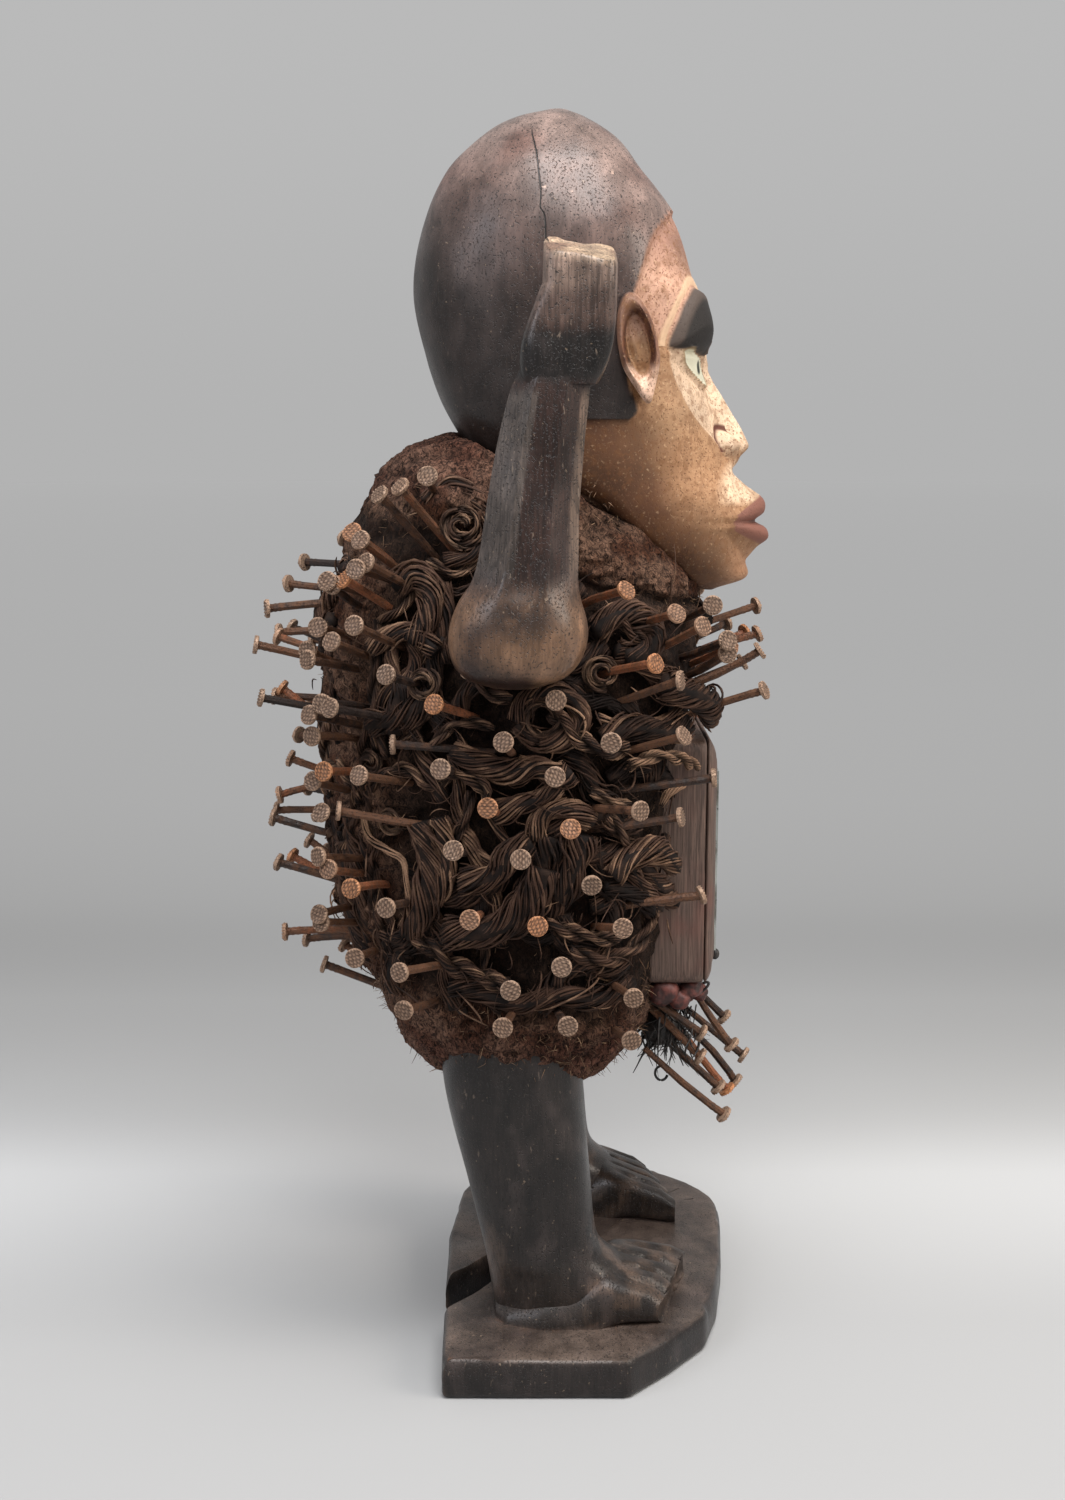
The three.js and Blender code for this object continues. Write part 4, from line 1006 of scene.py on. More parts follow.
def weave_coat():
    """The coat as one lumpy closed skin: its smooth rings pushed in and out by layers of noise, with
    a roll round the collar, a groove below it and the belt of cords pressed in."""
    level = np.concatenate([np.full(7, 101.0), np.linspace(101, 331, 262), np.full(8, 331.0)])[:, None]
    inset = np.concatenate([np.linspace(-30, -1.5, 7), np.zeros(262), np.linspace(-1.5, -17, 8)])[:, None]
    turn = turns(310)
    rings = coat_rings(level, turn, inset)
    rings[..., 2] += np.where(level < 101.5, -0.1 * inset, 0.06 * inset)
    out = unit(coat_rings(level, turn, inset + 3) - coat_rings(level, turn, inset))
    out[:7, :, 2] -= 0.8
    out[-8:, :, 2] += 0.8
    out = unit(out)
    lumps = 2.0 * noise(rings, 17, 51) + 1.5 * noise(rings, 8, 52)
    warped = rings + 2.2 * np.stack([noise(rings, 5, seed) for seed in (53, 54, 55)], -1)
    clumps = 1.5 * (0.55 - np.abs(noise(warped, 4.6, 56))) + 0.8 * (0.5 - np.abs(noise(warped, 2.4, 57)))
    at_level = np.broadcast_to(level, lumps.shape)
    groove = bump(at_level - 297, 4.5)
    roll = (2.6 + 1.4 * noise(rings, 12, 58)) * bump(at_level - 314, 8)
    roll -= 4.2 * groove * step(-30, -8, -rings[..., 1])
    belt = corded_share(rings)
    clumps = clumps * (1.7 - 0.6 * belt)
    push = lumps + clumps + roll - 4.6 * belt
    skin = rings + out * push[..., None]
    mesh = build_mesh("fibre_coat", *closed_skin(skin))
    ends = [0, 0]
    up = mesh_points(mesh)[:, 2]
    # The clumps' height, by which the shader paints light on their crowns and shade between them
    store(mesh, "height", np.concatenate([(clumps * 0.6 + lumps * 0.25).ravel(), ends]))
    # Where the shader paints shade near black: the belt under the cords and the groove below the collar
    store(mesh, "belt", np.concatenate([np.clip(belt + groove, 0, 1).ravel(), ends]))
    store(mesh, "russet", 1 - step(112, 142, up) + 0.6 * step(318, 326, up))
    return mesh


def curved_fibres(starts, ways, lengths, radius, rng, steps=4, curl=1.5):
    """Thin tapering fibres that set off one way each and bend steadily another."""
    count = len(starts)
    bend = unit(rng.normal(size=(count, 3))) * curl
    t = np.linspace(0, 1, steps)[None, :, None]
    paths = starts[:, None] + lengths[:, None, None] * (ways[:, None] * t + bend[:, None] * t * t * 0.5)
    taper = radius[:, None] * (1 - 0.75 * t[..., 0] ** 2)
    return paths, taper


def fuzz_coat(rng):
    """Short stray fibres all over the coat, thickest where no cords cover it."""
    count = 9000
    turn = rng.uniform(0, 360, count)
    up = np.where(rng.random(count) < 0.35, rng.uniform(102, 150, count), rng.uniform(102, 330, count))
    spots, out = at_turn(turn, up)
    keep = rng.random(count) > 0.75 * corded_share(spots)
    keep &= ~((-spots[:, 1] > BOX["back"] - 2) & (np.abs(spots[:, 0]) < BOX["half_width"] + 1)
              & (spots[:, 2] > BOX["bottom"] - 2) & (spots[:, 2] < BOX["top"] + 2))
    spots, out = spots[keep], out[keep]
    count = len(spots)
    ways = unit(out * 0.55 + rng.normal(size=(count, 3)) * 0.8)
    lengths = rng.uniform(1.6, 4.6, count)
    radius = rng.uniform(0.13, 0.26, count)
    starts = spots - out * (1.0 + 3.4 * corded_share(spots))[:, None]
    paths, taper = curved_fibres(starts, ways, lengths, radius, rng)
    mesh = build_mesh("coat_fuzz", *tubes(paths, taper, 3))
    tone = np.repeat(rng.uniform(0.15, 0.85, count), paths.shape[1] * 3)
    store(mesh, "tone", tone)
    store(mesh, "crest", np.full(len(tone), 0.85))
    return mesh


# The cords

def smooth_path(points, spacing):
    """A curve through the points by cubic pieces, each from the two points beside it and the two
    beyond them, then set out again at an even spacing."""
    ends = np.concatenate([[2 * points[0] - points[1]], points, [2 * points[-1] - points[-2]]])
    t = np.linspace(0, 1, 20, endpoint=False)[:, None]
    pieces = [
        0.5 * (2 * b + (c - a) * t + (2 * a - 5 * b + 4 * c - d) * t ** 2 + (3 * b - a - 3 * c + d) * t ** 3)
        for a, b, c, d in zip(ends, ends[1:], ends[2:], ends[3:])
    ]
    path = np.concatenate([*pieces, points[-1:]])
    run = np.concatenate([[0], np.cumsum(np.linalg.norm(np.diff(path, axis=0), axis=1))])
    even = np.linspace(0, run[-1], max(int(run[-1] / spacing) + 1, 5))
    return np.stack([np.interp(even, run, path[:, k]) for k in range(3)], -1)


def rope(path, radius, plies, tone, rng):
    """A cord along a path: strands set round the middle of each ply, the plies wound round each
    other, and a dark core in each, painted shade that fills the gaps between its strands. One ply is a loose
    hank, whose strands hardly twist."""
    steps = len(path)
    run = np.concatenate([[0], np.cumsum(np.linalg.norm(np.diff(path, axis=0), axis=1))])
    along = unit(np.gradient(path, axis=0))
    away = path - place(0, TRUNK_MIDDLE, path[:, 2])
    out = unit(away - np.einsum("ij,ij->i", away, along)[:, None] * along)
    beside = np.cross(along, out)
    pitch = TWIST_PITCH if plies > 1 else HANK_PITCH
    ply_radius = radius * (0.56 if plies > 1 else 1.0)
    ply_reach = radius - ply_radius
    strands = max(int(round(2 * np.pi * (ply_radius - STRAND_RADIUS) / (2 * STRAND_RADIUS * 0.92))), 4)
    thickness = STRAND_RADIUS * rng.uniform(0.72, 1.2, (plies, strands))
    ply_turn = 2 * np.pi * (np.arange(plies)[:, None] / plies + run / pitch) + rng.uniform(0, 6)
    strand_turn = (2 * np.pi * np.arange(strands)[:, None] / strands - 2 * np.pi * run / (pitch * 0.8)
                   + rng.uniform(-0.1, 0.1, (strands, 1)))
    waver = np.stack([
        np.interp(run, np.linspace(0, run[-1], 5), rng.normal(0, 1, 5)) for _ in range(plies * strands)
    ]).reshape(plies, strands, steps)
    loose = np.where(rng.random((plies, strands, 1)) < 0.16, 0.42, 0.12)
    swell = 1 + 0.10 * np.sin(run / run[-1] * 9 + rng.uniform(0, 6))
    offset = np.maximum(ply_radius * swell - thickness[..., None], 0.2) * (1 + loose * waver)
    flat = 1.22 if plies == 1 else 1.0
    first = ply_reach * np.cos(ply_turn)[:, None] + offset * np.cos(strand_turn) / flat
    second = ply_reach * np.sin(ply_turn)[:, None] + offset * np.sin(strand_turn) * flat
    # How far out each strand lies: the shader paints light on the cord's crest and shade towards its core
    crest = np.clip(np.hypot(first, second) / radius, 0, 1) if plies > 1 else np.full(first.shape, 0.85)
    centres = path + first[..., None] * out + second[..., None] * beside
    centres = centres.reshape(-1, steps, 3)
    fade = np.ones(steps)
    fade[0] = fade[-1] = 0.35
    radii = thickness.reshape(-1, 1) * fade
    shapes = [tubes(centres, radii, 3)]
    tones = [np.repeat(np.clip(rng.normal(tone, 0.14, len(centres)), 0, 1), steps * 3)]
    crests = [np.repeat(crest.ravel(), 3), np.full(plies * steps * 5, 0.55)]
    # A dark core in each ply, with a low crest set above: painted shade that fills the gaps between its
    # strands
    core = path + ply_reach * (np.cos(ply_turn)[..., None] * out + np.sin(ply_turn)[..., None] * beside)
    core_radii = np.full((plies, steps), max(ply_radius - 1.1 * STRAND_RADIUS, 0.3))
    shapes.append(tubes(core, core_radii, 5))
    tones.append(np.full(plies * steps * 5, 0.15))
    return gather(shapes), np.concatenate(tones), np.concatenate(crests)


def laid_on_coat(hand, route, lift):
    """A route over the coat, lifted off it."""
    ahead, up = np.array(route, float).T
    spots, out = on_coat(hand, ahead, up)
    return spots + out * lift


def coil_on_coat(middle, inner, outer, coil_turns, lift):
    """A flat spiral on the coat: its radius grows evenly with its turn, and it rises as it winds in."""
    t = np.linspace(0, 1, int(14 * coil_turns))
    angle = 2 * np.pi * coil_turns * t
    radius = inner + (outer - inner) * t
    ahead = middle[0] + radius * np.cos(angle)
    up = middle[1] + radius * np.sin(angle)
    spots, out = on_coat(RIGHT, ahead, up)
    return spots + out * (lift - 2.4 * t)[:, None]


def cord_mesh(name, cords):
    """One mesh from many cords, each strand with its own tone."""
    shapes, tones, crests = zip(*cords)
    mesh = build_mesh(name, *gather(shapes))
    store(mesh, "tone", np.concatenate(tones))
    store(mesh, "crest", np.concatenate(crests))
    return mesh


def wind_right_cords(rng):
    """The cords that show on the right side, over a layer of dark ones that fill the gaps with painted
    shade.
    """
    cords = []
    for thick, lift, plies, tone, route in RIGHT_CORDS:
        radius = thick / 2
        path = smooth_path(laid_on_coat(RIGHT, route, radius + lift - 2.2), ROPE_STEP)
        cords.append(rope(path, radius, plies, tone, rng))
    for thick, lift, tone, middle, inner, outer, coil_turns in RIGHT_KNOTS:
        path = smooth_path(coil_on_coat(middle, inner, outer, coil_turns, lift), 1.6)
        cords.append(rope(path, thick / 2, 2, tone, rng))
    # The under-layer: dark cords whose low tones are painted shade in the gaps between the cords above
    for _ in range(24):
        ahead, up = rng.uniform(-70, 18), rng.uniform(146, 292)
        heading = rng.uniform(0, 2 * np.pi)
        route = []
        for _ in range(5):
            route.append((ahead, up))
            heading += rng.uniform(-0.8, 0.8)
            ahead = np.clip(ahead + 9 * np.cos(heading), -74, 26)
            up = np.clip(up + 9 * np.sin(heading), 142, 294)
        path = smooth_path(laid_on_coat(RIGHT, route, 0.2), 3.0)
        cords.append(rope(path, rng.uniform(2.4, 3.8), 1, rng.uniform(0.0, 0.3), rng))
    return cord_mesh("cords_right", cords)


def wind_back_cords(rng):
    """Mostly upright cords, side by side where the right side turns into the back."""
    cords = []
    for start in np.linspace(*BACK_CORDS["turns"], BACK_CORDS["count"]):
        turn = start + rng.uniform(-3, 3)
        up = rng.uniform(*BACK_CORDS["heights"])
        heading = rng.uniform(-0.6, 0.6)
        places = []
        for _ in range(6):
            places.append((turn, up))
            heading = 0.8 * heading + rng.uniform(-0.55, 0.55)
            turn += 7 * np.sin(heading)
            up = max(up - 10 * np.cos(heading), 140)
        table = np.array(places)
        spots, out = at_turn(table[:, 0], table[:, 1])
        radius = rng.uniform(*BACK_CORDS["radius"])
        path = smooth_path(spots + out * (radius - 1.8), 2.4)
        plies = 1 if rng.random() < 0.6 else 2
        cords.append(rope(path, radius, plies, rng.uniform(*BACK_CORDS["tone"]), rng))
    return cord_mesh("cords_back_edge", cords)


def wind_hidden_cords(rng):
    """Cords on the hidden side, the back and above the box, each a wandering run over the coat."""
    cords = []
    blocked = arm_line()
    tries = 0
    while len(cords) < 54 and tries < 400:
        tries += 1
        turn, up = rng.uniform(-205, -14), rng.uniform(140, 298)
        heading = rng.uniform(0, 2 * np.pi)
        places = []
        for _ in range(rng.integers(4, 7)):
            places.append((turn, up))
            heading += rng.uniform(-0.9, 0.9)
            turn += 7.5 * np.cos(heading)
            up = np.clip(up + 9 * np.sin(heading), 134, 300)
        table = np.array(places)
        spots, out = at_turn(table[:, 0], table[:, 1])
        near_box = (-spots[:, 1] > 14) & (np.abs(spots[:, 0]) < 38) & (spots[:, 2] < 242)
        near_arm = np.min(np.linalg.norm(spots[:, None] - blocked[None], axis=-1)) < 21
        if near_box.any() or near_arm:
            continue
        radius = rng.uniform(2.2, 4.4)
        plies = 2 if rng.random() < 0.45 else 1
        path = smooth_path(spots + out * (radius + rng.uniform(-2.2, 0.6)), 2.6)
        cords.append(rope(path, radius, plies, rng.uniform(0.15, 0.7), rng))
    return cord_mesh("cords_hidden_side", cords)


def arm_line():
    """Points down the middle of the lowered arm."""
    hand = (HAND["side"], HAND["ahead"], HAND["up"], 0)
    table = np.array([*LOWERED_UPPER_ARM, *LOWERED_FOREARM[1:], hand], float)
    where = np.linspace(0, len(table) - 1, 30)
    return place(*(np.interp(where, np.arange(len(table)), table[:, k]) for k in range(3)))


def loose_fibres(rng):
    """Stray strands that cross the cords and nails: long thin arcs just above the coat."""
    count = 300
    turn = np.where(rng.random(count) < 0.62, rng.uniform(35, 150, count), rng.uniform(-200, -20, count))
    up = rng.uniform(138, 296, count)
    spots, out = at_turn(turn, up)
    keep = ~((-spots[:, 1] > 10) & (np.abs(spots[:, 0]) < 36) & (spots[:, 2] < 238))
    spots, out = spots[keep], out[keep]
    count = len(spots)
    level = unit(np.cross(out, [0.0, 0.0, 1.0]))
    angle = rng.uniform(0, 2 * np.pi, count)[:, None]
    ways = level * np.cos(angle) + np.array([0, 0, 1.0]) * np.sin(angle)
    ways = unit(ways + out * rng.uniform(-0.25, 0.3, (count, 1)))
    t = np.linspace(-0.5, 0.5, 9)[None, :, None]
    lengths = rng.uniform(6, 19, count)[:, None, None]
    sag = out[:, None] * (rng.uniform(2.5, 6.0, count)[:, None, None] - 0.20 * lengths * (2 * t) ** 2)
    bend = unit(rng.normal(size=(count, 3)))[:, None] * lengths * 1.1 * t * t
    paths = spots[:, None] + ways[:, None] * lengths * t + sag + bend
    radii = rng.uniform(0.16, 0.42, count)[:, None] * (1 - 0.6 * np.abs(2 * t[..., 0]) ** 3)
    mesh = build_mesh("loose_strands", *tubes(paths, radii, 3))
    store(mesh, "tone", np.repeat(rng.uniform(0.1, 0.85, count), 9 * 3))
    store(mesh, "crest", np.full(count * 9 * 3, 0.85))
    return mesh


# The nails

def nail_shape():
    """One nail standing up from its root at the origin, length 1 to the underside of its head: a
    shank with a few grip ridges, and a round head whose face is pressed with rows of small points.
    The square grid of the face is drawn into a disc, and its points on odd rows and columns are
    raised, so that low lines cross between them."""
    count = 10
    line = np.linspace(-1, 1, count + 1)
    u, v = np.meshgrid(line, line)
    x = u * np.sqrt(1 - v ** 2 / 2) * NAIL["head"]
    y = v * np.sqrt(1 - u ** 2 / 2) * NAIL["head"]
    inner = (np.abs(u) < 0.95) & (np.abs(v) < 0.95)
    odd = np.arange(count + 1) % 2
    raised = np.outer(odd, odd) * 0.45 * inner
    z = NAIL["head_thickness"] + raised - 0.25 * (1 - inner)
    face = np.stack([x, y, z], -1).reshape(-1, 3)
    index = np.arange((count + 1) ** 2).reshape(count + 1, count + 1)
    quads = np.stack([index[:-1, :-1], index[:-1, 1:], index[1:, 1:], index[1:, :-1]], -1).reshape(-1, 4)
    rim = np.concatenate([index[0, :-1], index[:-1, -1], index[-1, :0:-1], index[:0:-1, 0]])
    under = face[rim] * [1.0, 1.0, 0.0] * 0.97
    points = np.concatenate([face, under, [[0, 0, -0.5]]])
    low = len(face) + np.arange(len(rim))
    side = np.stack([rim, low, np.roll(low, -1), np.roll(rim, -1)], -1)
    fan = np.stack([low, np.full(len(rim), len(points) - 1), np.roll(low, -1)], -1)
    # The face's low points, which the shader darkens as painted shade
    pressed = np.concatenate([((raised == 0) & inner).ravel(), np.zeros(len(points) - len(face))])
    head = points, np.concatenate([quads, side]), fan
    shank_levels = np.array([0, 0.5, 0.86, 0.885, 0.91, 0.935, 0.96, 0.985, 1.0])
    ridges = np.array([0.82, 1, 1, 1.1, 0.98, 1.1, 0.98, 1.1, 1.0]) * NAIL["shank"]
    turn = turns(8)
    rings = np.stack([np.cos(turn), np.sin(turn), np.zeros(8)], -1) * ridges[:, None, None]
    rings[..., 2] = shank_levels[:, None]
    return head, closed_skin(rings), pressed


def drive_nails(roots, ways, lengths, rng):
    """All nails as one mesh. Each is turned from standing up to its own way, and its head tilts a
    little. A nail keeps one rust tone, and its head is paler than its shank."""
    head, shank, pressed = nail_shape()
    count = len(roots)
    tilt = unit(ways + 0.10 * rng.normal(size=ways.shape))
    shapes, tones, heads, dents = [], [], [], []
    rust = rng.beta(1.6, 2.2, count)
    bend = 0.05 * rng.normal(size=(count, 3))
    for part, (points, quads, tris) in (("shank", shank), ("head", head)):
        axis = ways if part == "shank" else tilt
        spin = rng.uniform(0, 2 * np.pi, count)
        across = unit(np.cross(axis, [0.31, 0.22, 0.92]))
        other = np.cross(axis, across)
        one = across * np.cos(spin)[:, None] + other * np.sin(spin)[:, None]
        two = np.cross(axis, one)
        height = points[:, 2]
        if part == "shank":
            reach = (NAIL["sunk"] + lengths)[:, None] * height - NAIL["sunk"]
            sway = np.clip(reach, 0, None) ** 2 / lengths[:, None]
            start = roots[:, None] + bend[:, None] * sway[..., None]
        else:
            reach = np.broadcast_to(height, (count, len(height)))
            start = (roots + ways * lengths[:, None] + bend * lengths[:, None])[:, None]
        placed = (start + one[:, None] * points[None, :, :1] + two[:, None] * points[None, :, 1:2]
                  + axis[:, None] * reach[..., None])
        shift = (np.arange(count) * len(points))[:, None, None]
        faces = ((corners[None] + shift).reshape(-1, corners.shape[1]) for corners in (quads, tris))
        shapes.append((placed.reshape(-1, 3), *faces))
        tones.append(np.repeat(rust, len(points)))
        heads.append(np.full(count * len(points), float(part == "head")))
        dents.append(np.tile(pressed, count) if part == "head" else np.zeros(count * len(points)))
    mesh = build_mesh("nails", *gather(shapes))
    mesh.set_sharp_from_angle(angle=math.radians(38))
    store(mesh, "rust", np.concatenate(tones))
    store(mesh, "head", np.concatenate(heads))
    store(mesh, "pressed", np.concatenate(dents))
    return mesh


def nail_places(rng):
    """Roots, ways and shown lengths of all nails: the right side's from its list, rows on the hidden
    side, those above the box and the bundle below it."""
    table = np.array(RIGHT_NAILS, float)
    roots, _ = on_coat(RIGHT, table[:, 0], table[:, 1])
    lengths = np.maximum(np.hypot(table[:, 2], table[:, 3]), NAIL["shown"])
    aside = np.sqrt(np.maximum(lengths ** 2 - table[:, 2] ** 2 - table[:, 3] ** 2, 0))
    ways = unit(np.stack([-aside, -table[:, 2], table[:, 3]], -1))
    lift = math.tan(math.radians(LEFT_NAIL_LIFT))
    kept_roots, kept_ways = [], []
    for up, first, between in LEFT_NAIL_ROWS:
        spots, out = at_turn(np.array([first, first + between], float), np.full(2, float(up)))
        kept_roots.extend(spots)
        kept_ways.extend(unit(out + [0, 0, lift]))
    blocked = arm_line()
    for up in np.arange(132, 306, 12.5):
        for turn in np.arange(-188, -26, 13.0):
            spots, outs = at_turn([turn + rng.uniform(-5, 5)], [up + rng.uniform(-4.5, 4.5)])
            spot, out = spots[0], outs[0]
            near_box = -spot[1] > 12 and abs(spot[0]) < 38 and spot[2] < 244
            head_at = spot + out * NAIL["shown"]
            near_arm = min(np.linalg.norm(blocked - end, axis=1).min() for end in (spot, head_at))
            near_nail = min(np.linalg.norm(other - spot) for other in kept_roots)
            if near_box or near_arm < 23 or near_nail < 11 or rng.random() < 0.22:
                continue
            kept_roots.append(spot)
            kept_ways.append(unit(out + [0, 0, lift + rng.uniform(-0.1, 0.25)] + rng.normal(0, 0.16, 3)))
    front_roots, front_ways = [], []
    for side, up, rise in FRONT_NAILS:
        angle = math.radians(rise)
        front_roots.append(place(side, coat_front(up) - 1.5, up))
        front_ways.append(unit(np.array([side / 90, -math.cos(angle), math.sin(angle)])))
    bundle = np.array(BUNDLE_NAILS, float)
    bundle_roots = place(bundle[:, 0], bundle[:, 1], bundle[:, 2])
    bundle_ways = place(0, bundle[:, 3], bundle[:, 4])
    all_roots = np.concatenate([roots, kept_roots, front_roots, bundle_roots])
    all_ways = np.concatenate([ways, kept_ways, front_ways, unit(bundle_ways)])
    shown = np.full(len(kept_roots) + len(front_roots), float(NAIL["shown"]))
    return all_roots, all_ways, np.concatenate([lengths, shown, np.linalg.norm(bundle_ways, axis=1)])


# The box on the belly

def framed_rings(stations, middle_up, half_width, half_height, corner=9, around=128):
    """Rings of a rounded rectangle along the way ahead: ahead, and how far each is drawn in."""
    turn = turns(around)
    sine, cosine = np.sin(turn), np.cos(turn)
    reach = (np.abs(sine) ** corner + np.abs(cosine) ** corner) ** (-1 / corner)
    aside, above = sine * reach, cosine * reach
    return np.stack([
        place(aside * (half_width - inset), ahead, middle_up + above * (half_height - inset))
        for ahead, inset in stations
    ])


def make_box_mesh():
    """The hollow wooden body: out along its outside, round its rim and back down inside."""
    wall, back, front = BOX["wall"], BOX["back"], BOX["front"]
    along = np.linspace(back + 0.8, front - 0.6, 26)
    outside = [(back, 1.4), (back + 0.25, 0.5), *((a, 0) for a in along), (front - 0.15, 0.3), (front, 0.8)]
    inside = [
        (front, wall - 0.4), (front - 0.5, wall), (back + wall + 0.4, wall), (back + wall, wall + 0.5),
    ]
    middle, half_height = (BOX["bottom"] + BOX["top"]) / 2, (BOX["top"] - BOX["bottom"]) / 2
    rings = framed_rings(outside + inside, middle, BOX["half_width"], half_height, corner=22, around=220)
    waver = 0.35 * noise(rings * [1, 0.35, 1], 15, 61) + 0.16 * noise(rings * [1, 0.2, 1], 4, 62)
    shell = rings[:len(outside)]
    shell -= unit(shell - place(0, -shell[..., 1], middle)) * np.abs(waver[:len(outside)])[..., None]
    return build_mesh("belly_box", *closed_skin(rings))


def make_lid_mesh():
    """The front board: its rounded edge, its face, and the sunk bed of the mirror."""
    seam = BOX["front"] + SEAM_GAP
    middle, half_height = (BOX["bottom"] + BOX["top"]) / 2, (BOX["top"] - BOX["bottom"]) / 2
    face = seam + BOX["lid"]
    edge = [(0, 0.6), (0.3, 0.1), (0.9, 0.15), (1.6, 0.9), (2.3, 2.0), (2.9, 3.2), (3.4, 4.8)]
    bed = [(0, 6), (0.5, 7.5), (0.6, 8.8), (-0.2, 9.6), (-1.1, 9.8), (-1.2, 14)]
    stations = [(seam + ahead, inset) for ahead, inset in edge]
    stations += [(face + ahead, inset) for ahead, inset in bed]
    rings = framed_rings(stations, middle, BOX["half_width"], half_height, corner=16, around=200)
    rings[:, :, 1] -= 0.25 * noise(rings, 9, 63) * (np.arange(len(stations)) > 5)[:, None]
    return build_mesh("belly_box_lid", *closed_skin(rings))


def lump(side, ahead, up, radius, seed, squash=1.0):
    """A small rough lump: a ball pushed in and out by noise."""
    rings = ball(side, ahead, up, radius, radius, radius * squash, rows=14, around=20)
    middle = place(side, ahead, up)
    rough = 1 + 0.25 * noise(rings, radius * 0.7, seed)
    return closed_skin(middle + (rings - middle) * rough[..., None])


def make_resin_mesh():
    """Reddish resin: lumps under the box's front."""
    shapes = [
        lump(-24, 38, 134, 4.6, 71, 0.8), lump(-18, 41, 131, 3.6, 72), lump(-27, 33, 131, 4.2, 73),
        lump(-14, 36, 129, 4.4, 74, 0.7), lump(-6, 39, 132, 4.0, 75, 0.8), lump(4, 37, 131, 4.6, 76, 0.8),
        lump(14, 38, 133, 4.2, 77, 0.8), lump(24, 36, 133, 4.0, 78, 0.8),
        lump(-27, 27, 134, 5.4, 79, 0.9), lump(-17, 29, 133, 5.6, 80, 0.9), lump(-5, 30, 133, 5.4, 81, 0.9),
        lump(8, 30, 133, 5.4, 82, 0.9), lump(21, 28, 133, 5.2, 83, 0.9),
    ]
    return build_mesh("resin_lumps", *gather(shapes))


def make_fittings_mesh():
    """A small dark bead on the box's face and a bent wire end below it."""
    bead = closed_skin(ball(-20, 47.2, 147, 1.7, 1.7, 2.2, rows=12, around=16))
    t = np.linspace(0, 1, 14)
    hook = place(-21 + 0 * t, 42.5 + 2.4 * np.sin(t * 4.6), 135.5 - 3.2 * t + 1.2 * np.sin(t * 6))
    ring_turn = np.linspace(0, 2 * np.pi * 0.96, 20)
    ring = place(-22 + 0.8 * np.sin(ring_turn), 27 + 2.4 * np.cos(ring_turn), 99.5 + 2.6 * np.sin(ring_turn))
    wires = [tubes(path[None], np.full((1, len(path)), 0.55), 6) for path in (hook, ring)]
    return build_mesh("wire_and_bead", *gather([bead, *wires]))


def make_tuft_mesh(rng):
    """Black stringy fibre below the box: strands fanning down and back from under it."""
    count = 230
    side = TUFT["side"] + rng.normal(0, 6, count)
    starts = place(side, TUFT["ahead"] + rng.normal(4, 4.5, count), TUFT["up"] + rng.uniform(0, 14, count))
    ways = [rng.normal(-0.25, 0.35, count), rng.normal(0.15, 0.4, count), rng.uniform(-1.0, -0.5, count)]
    lengths, radii = rng.uniform(5, 13, count), rng.uniform(0.25, 0.55, count)
    paths, taper = curved_fibres(starts, unit(np.stack(ways, -1)), lengths, radii, rng, 7, 1.1)
    core = closed_skin(ball(TUFT["side"], TUFT["ahead"] + 1, TUFT["up"] + 5, 11, 8, 9, rows=16, around=24))
    return build_mesh("black_tuft", *gather([tubes(paths, taper, 4), core]))


# Materials

def node(tree, kind, settings=None, inputs=None):
    """Adds a shader node, sets its own settings, and gives its inputs a value or a link."""
    made = tree.nodes.new("ShaderNode" + kind)
    for name, value in (settings or {}).items():
        setattr(made, name, value)
    for name, value in (inputs or {}).items():
        if isinstance(value, bpy.types.NodeSocket):
            tree.links.new(value, made.inputs[name])
        else:
            made.inputs[name].default_value = value
    return made


def new_material(name, roughness, **values):
    """A material with one main shader, whose even values are set on its own sockets."""
    material = bpy.data.materials.new(name)
    material.use_nodes = True
    tree = material.node_tree
    tree.nodes.clear()
    shader = node(tree, "BsdfPrincipled", inputs={"Roughness": roughness, **values})
    node(tree, "OutputMaterial", inputs={"Surface": shader.outputs[0]})
    return material, tree, shader


def stretched(tree, size, stretch=(1, 1, 1)):
    """Object coordinates counted in a pattern's real size in millimetres, drawn out along an axis."""
    coords = node(tree, "TexCoord").outputs["Object"]
    scale = tuple(1 / (size * MM * s) for s in stretch)
    return node(tree, "Mapping", inputs={"Vector": coords, "Scale": scale}).outputs[0]


def noise_on(tree, size, stretch=(1, 1, 1), detail=4.0, distortion=0.0):
    """Noise whose blotches are about that many millimetres wide."""
    return node(tree, "TexNoise", inputs={
        "Vector": stretched(tree, size, stretch), "Scale": 1.0, "Detail": detail, "Distortion": distortion,
    }).outputs["Fac"]


def between(tree, value, low, high, to_low=0.0, to_high=1.0):
    """A value eased from one range to another."""
    return node(tree, "MapRange", {"interpolation_type": "SMOOTHSTEP"}, {
        "Value": value, "From Min": low, "From Max": high, "To Min": to_low, "To Max": to_high,
    }).outputs[0]


def blend(tree, share, under, over, how="MIX"):
    """Two colours mixed by a share."""
    mixer = node(tree, "Mix", {"data_type": "RGBA", "blend_type": how}, {0: share, 6: under, 7: over})
    return mixer.outputs[2]


def count_up(tree, operation, first, second):
    """Two values put together by a sum or the like."""
    return node(tree, "Math", {"operation": operation}, {0: first, 1: second}).outputs[0]


def times(tree, first, second):
    """The product of two values."""
    return count_up(tree, "MULTIPLY", first, second)


def shaded(tree, amount, colour, share, low, high):
    """A colour multiplied by greys from low to high, as strongly as the amount says."""
    return blend(tree, amount, colour, blend(tree, share, grey(low), grey(high)), "MULTIPLY")


def kept(tree, name, colour=False):
    """A number or colour kept on the mesh's points."""
    return node(tree, "Attribute", {"attribute_name": name}).outputs["Color" if colour else "Fac"]


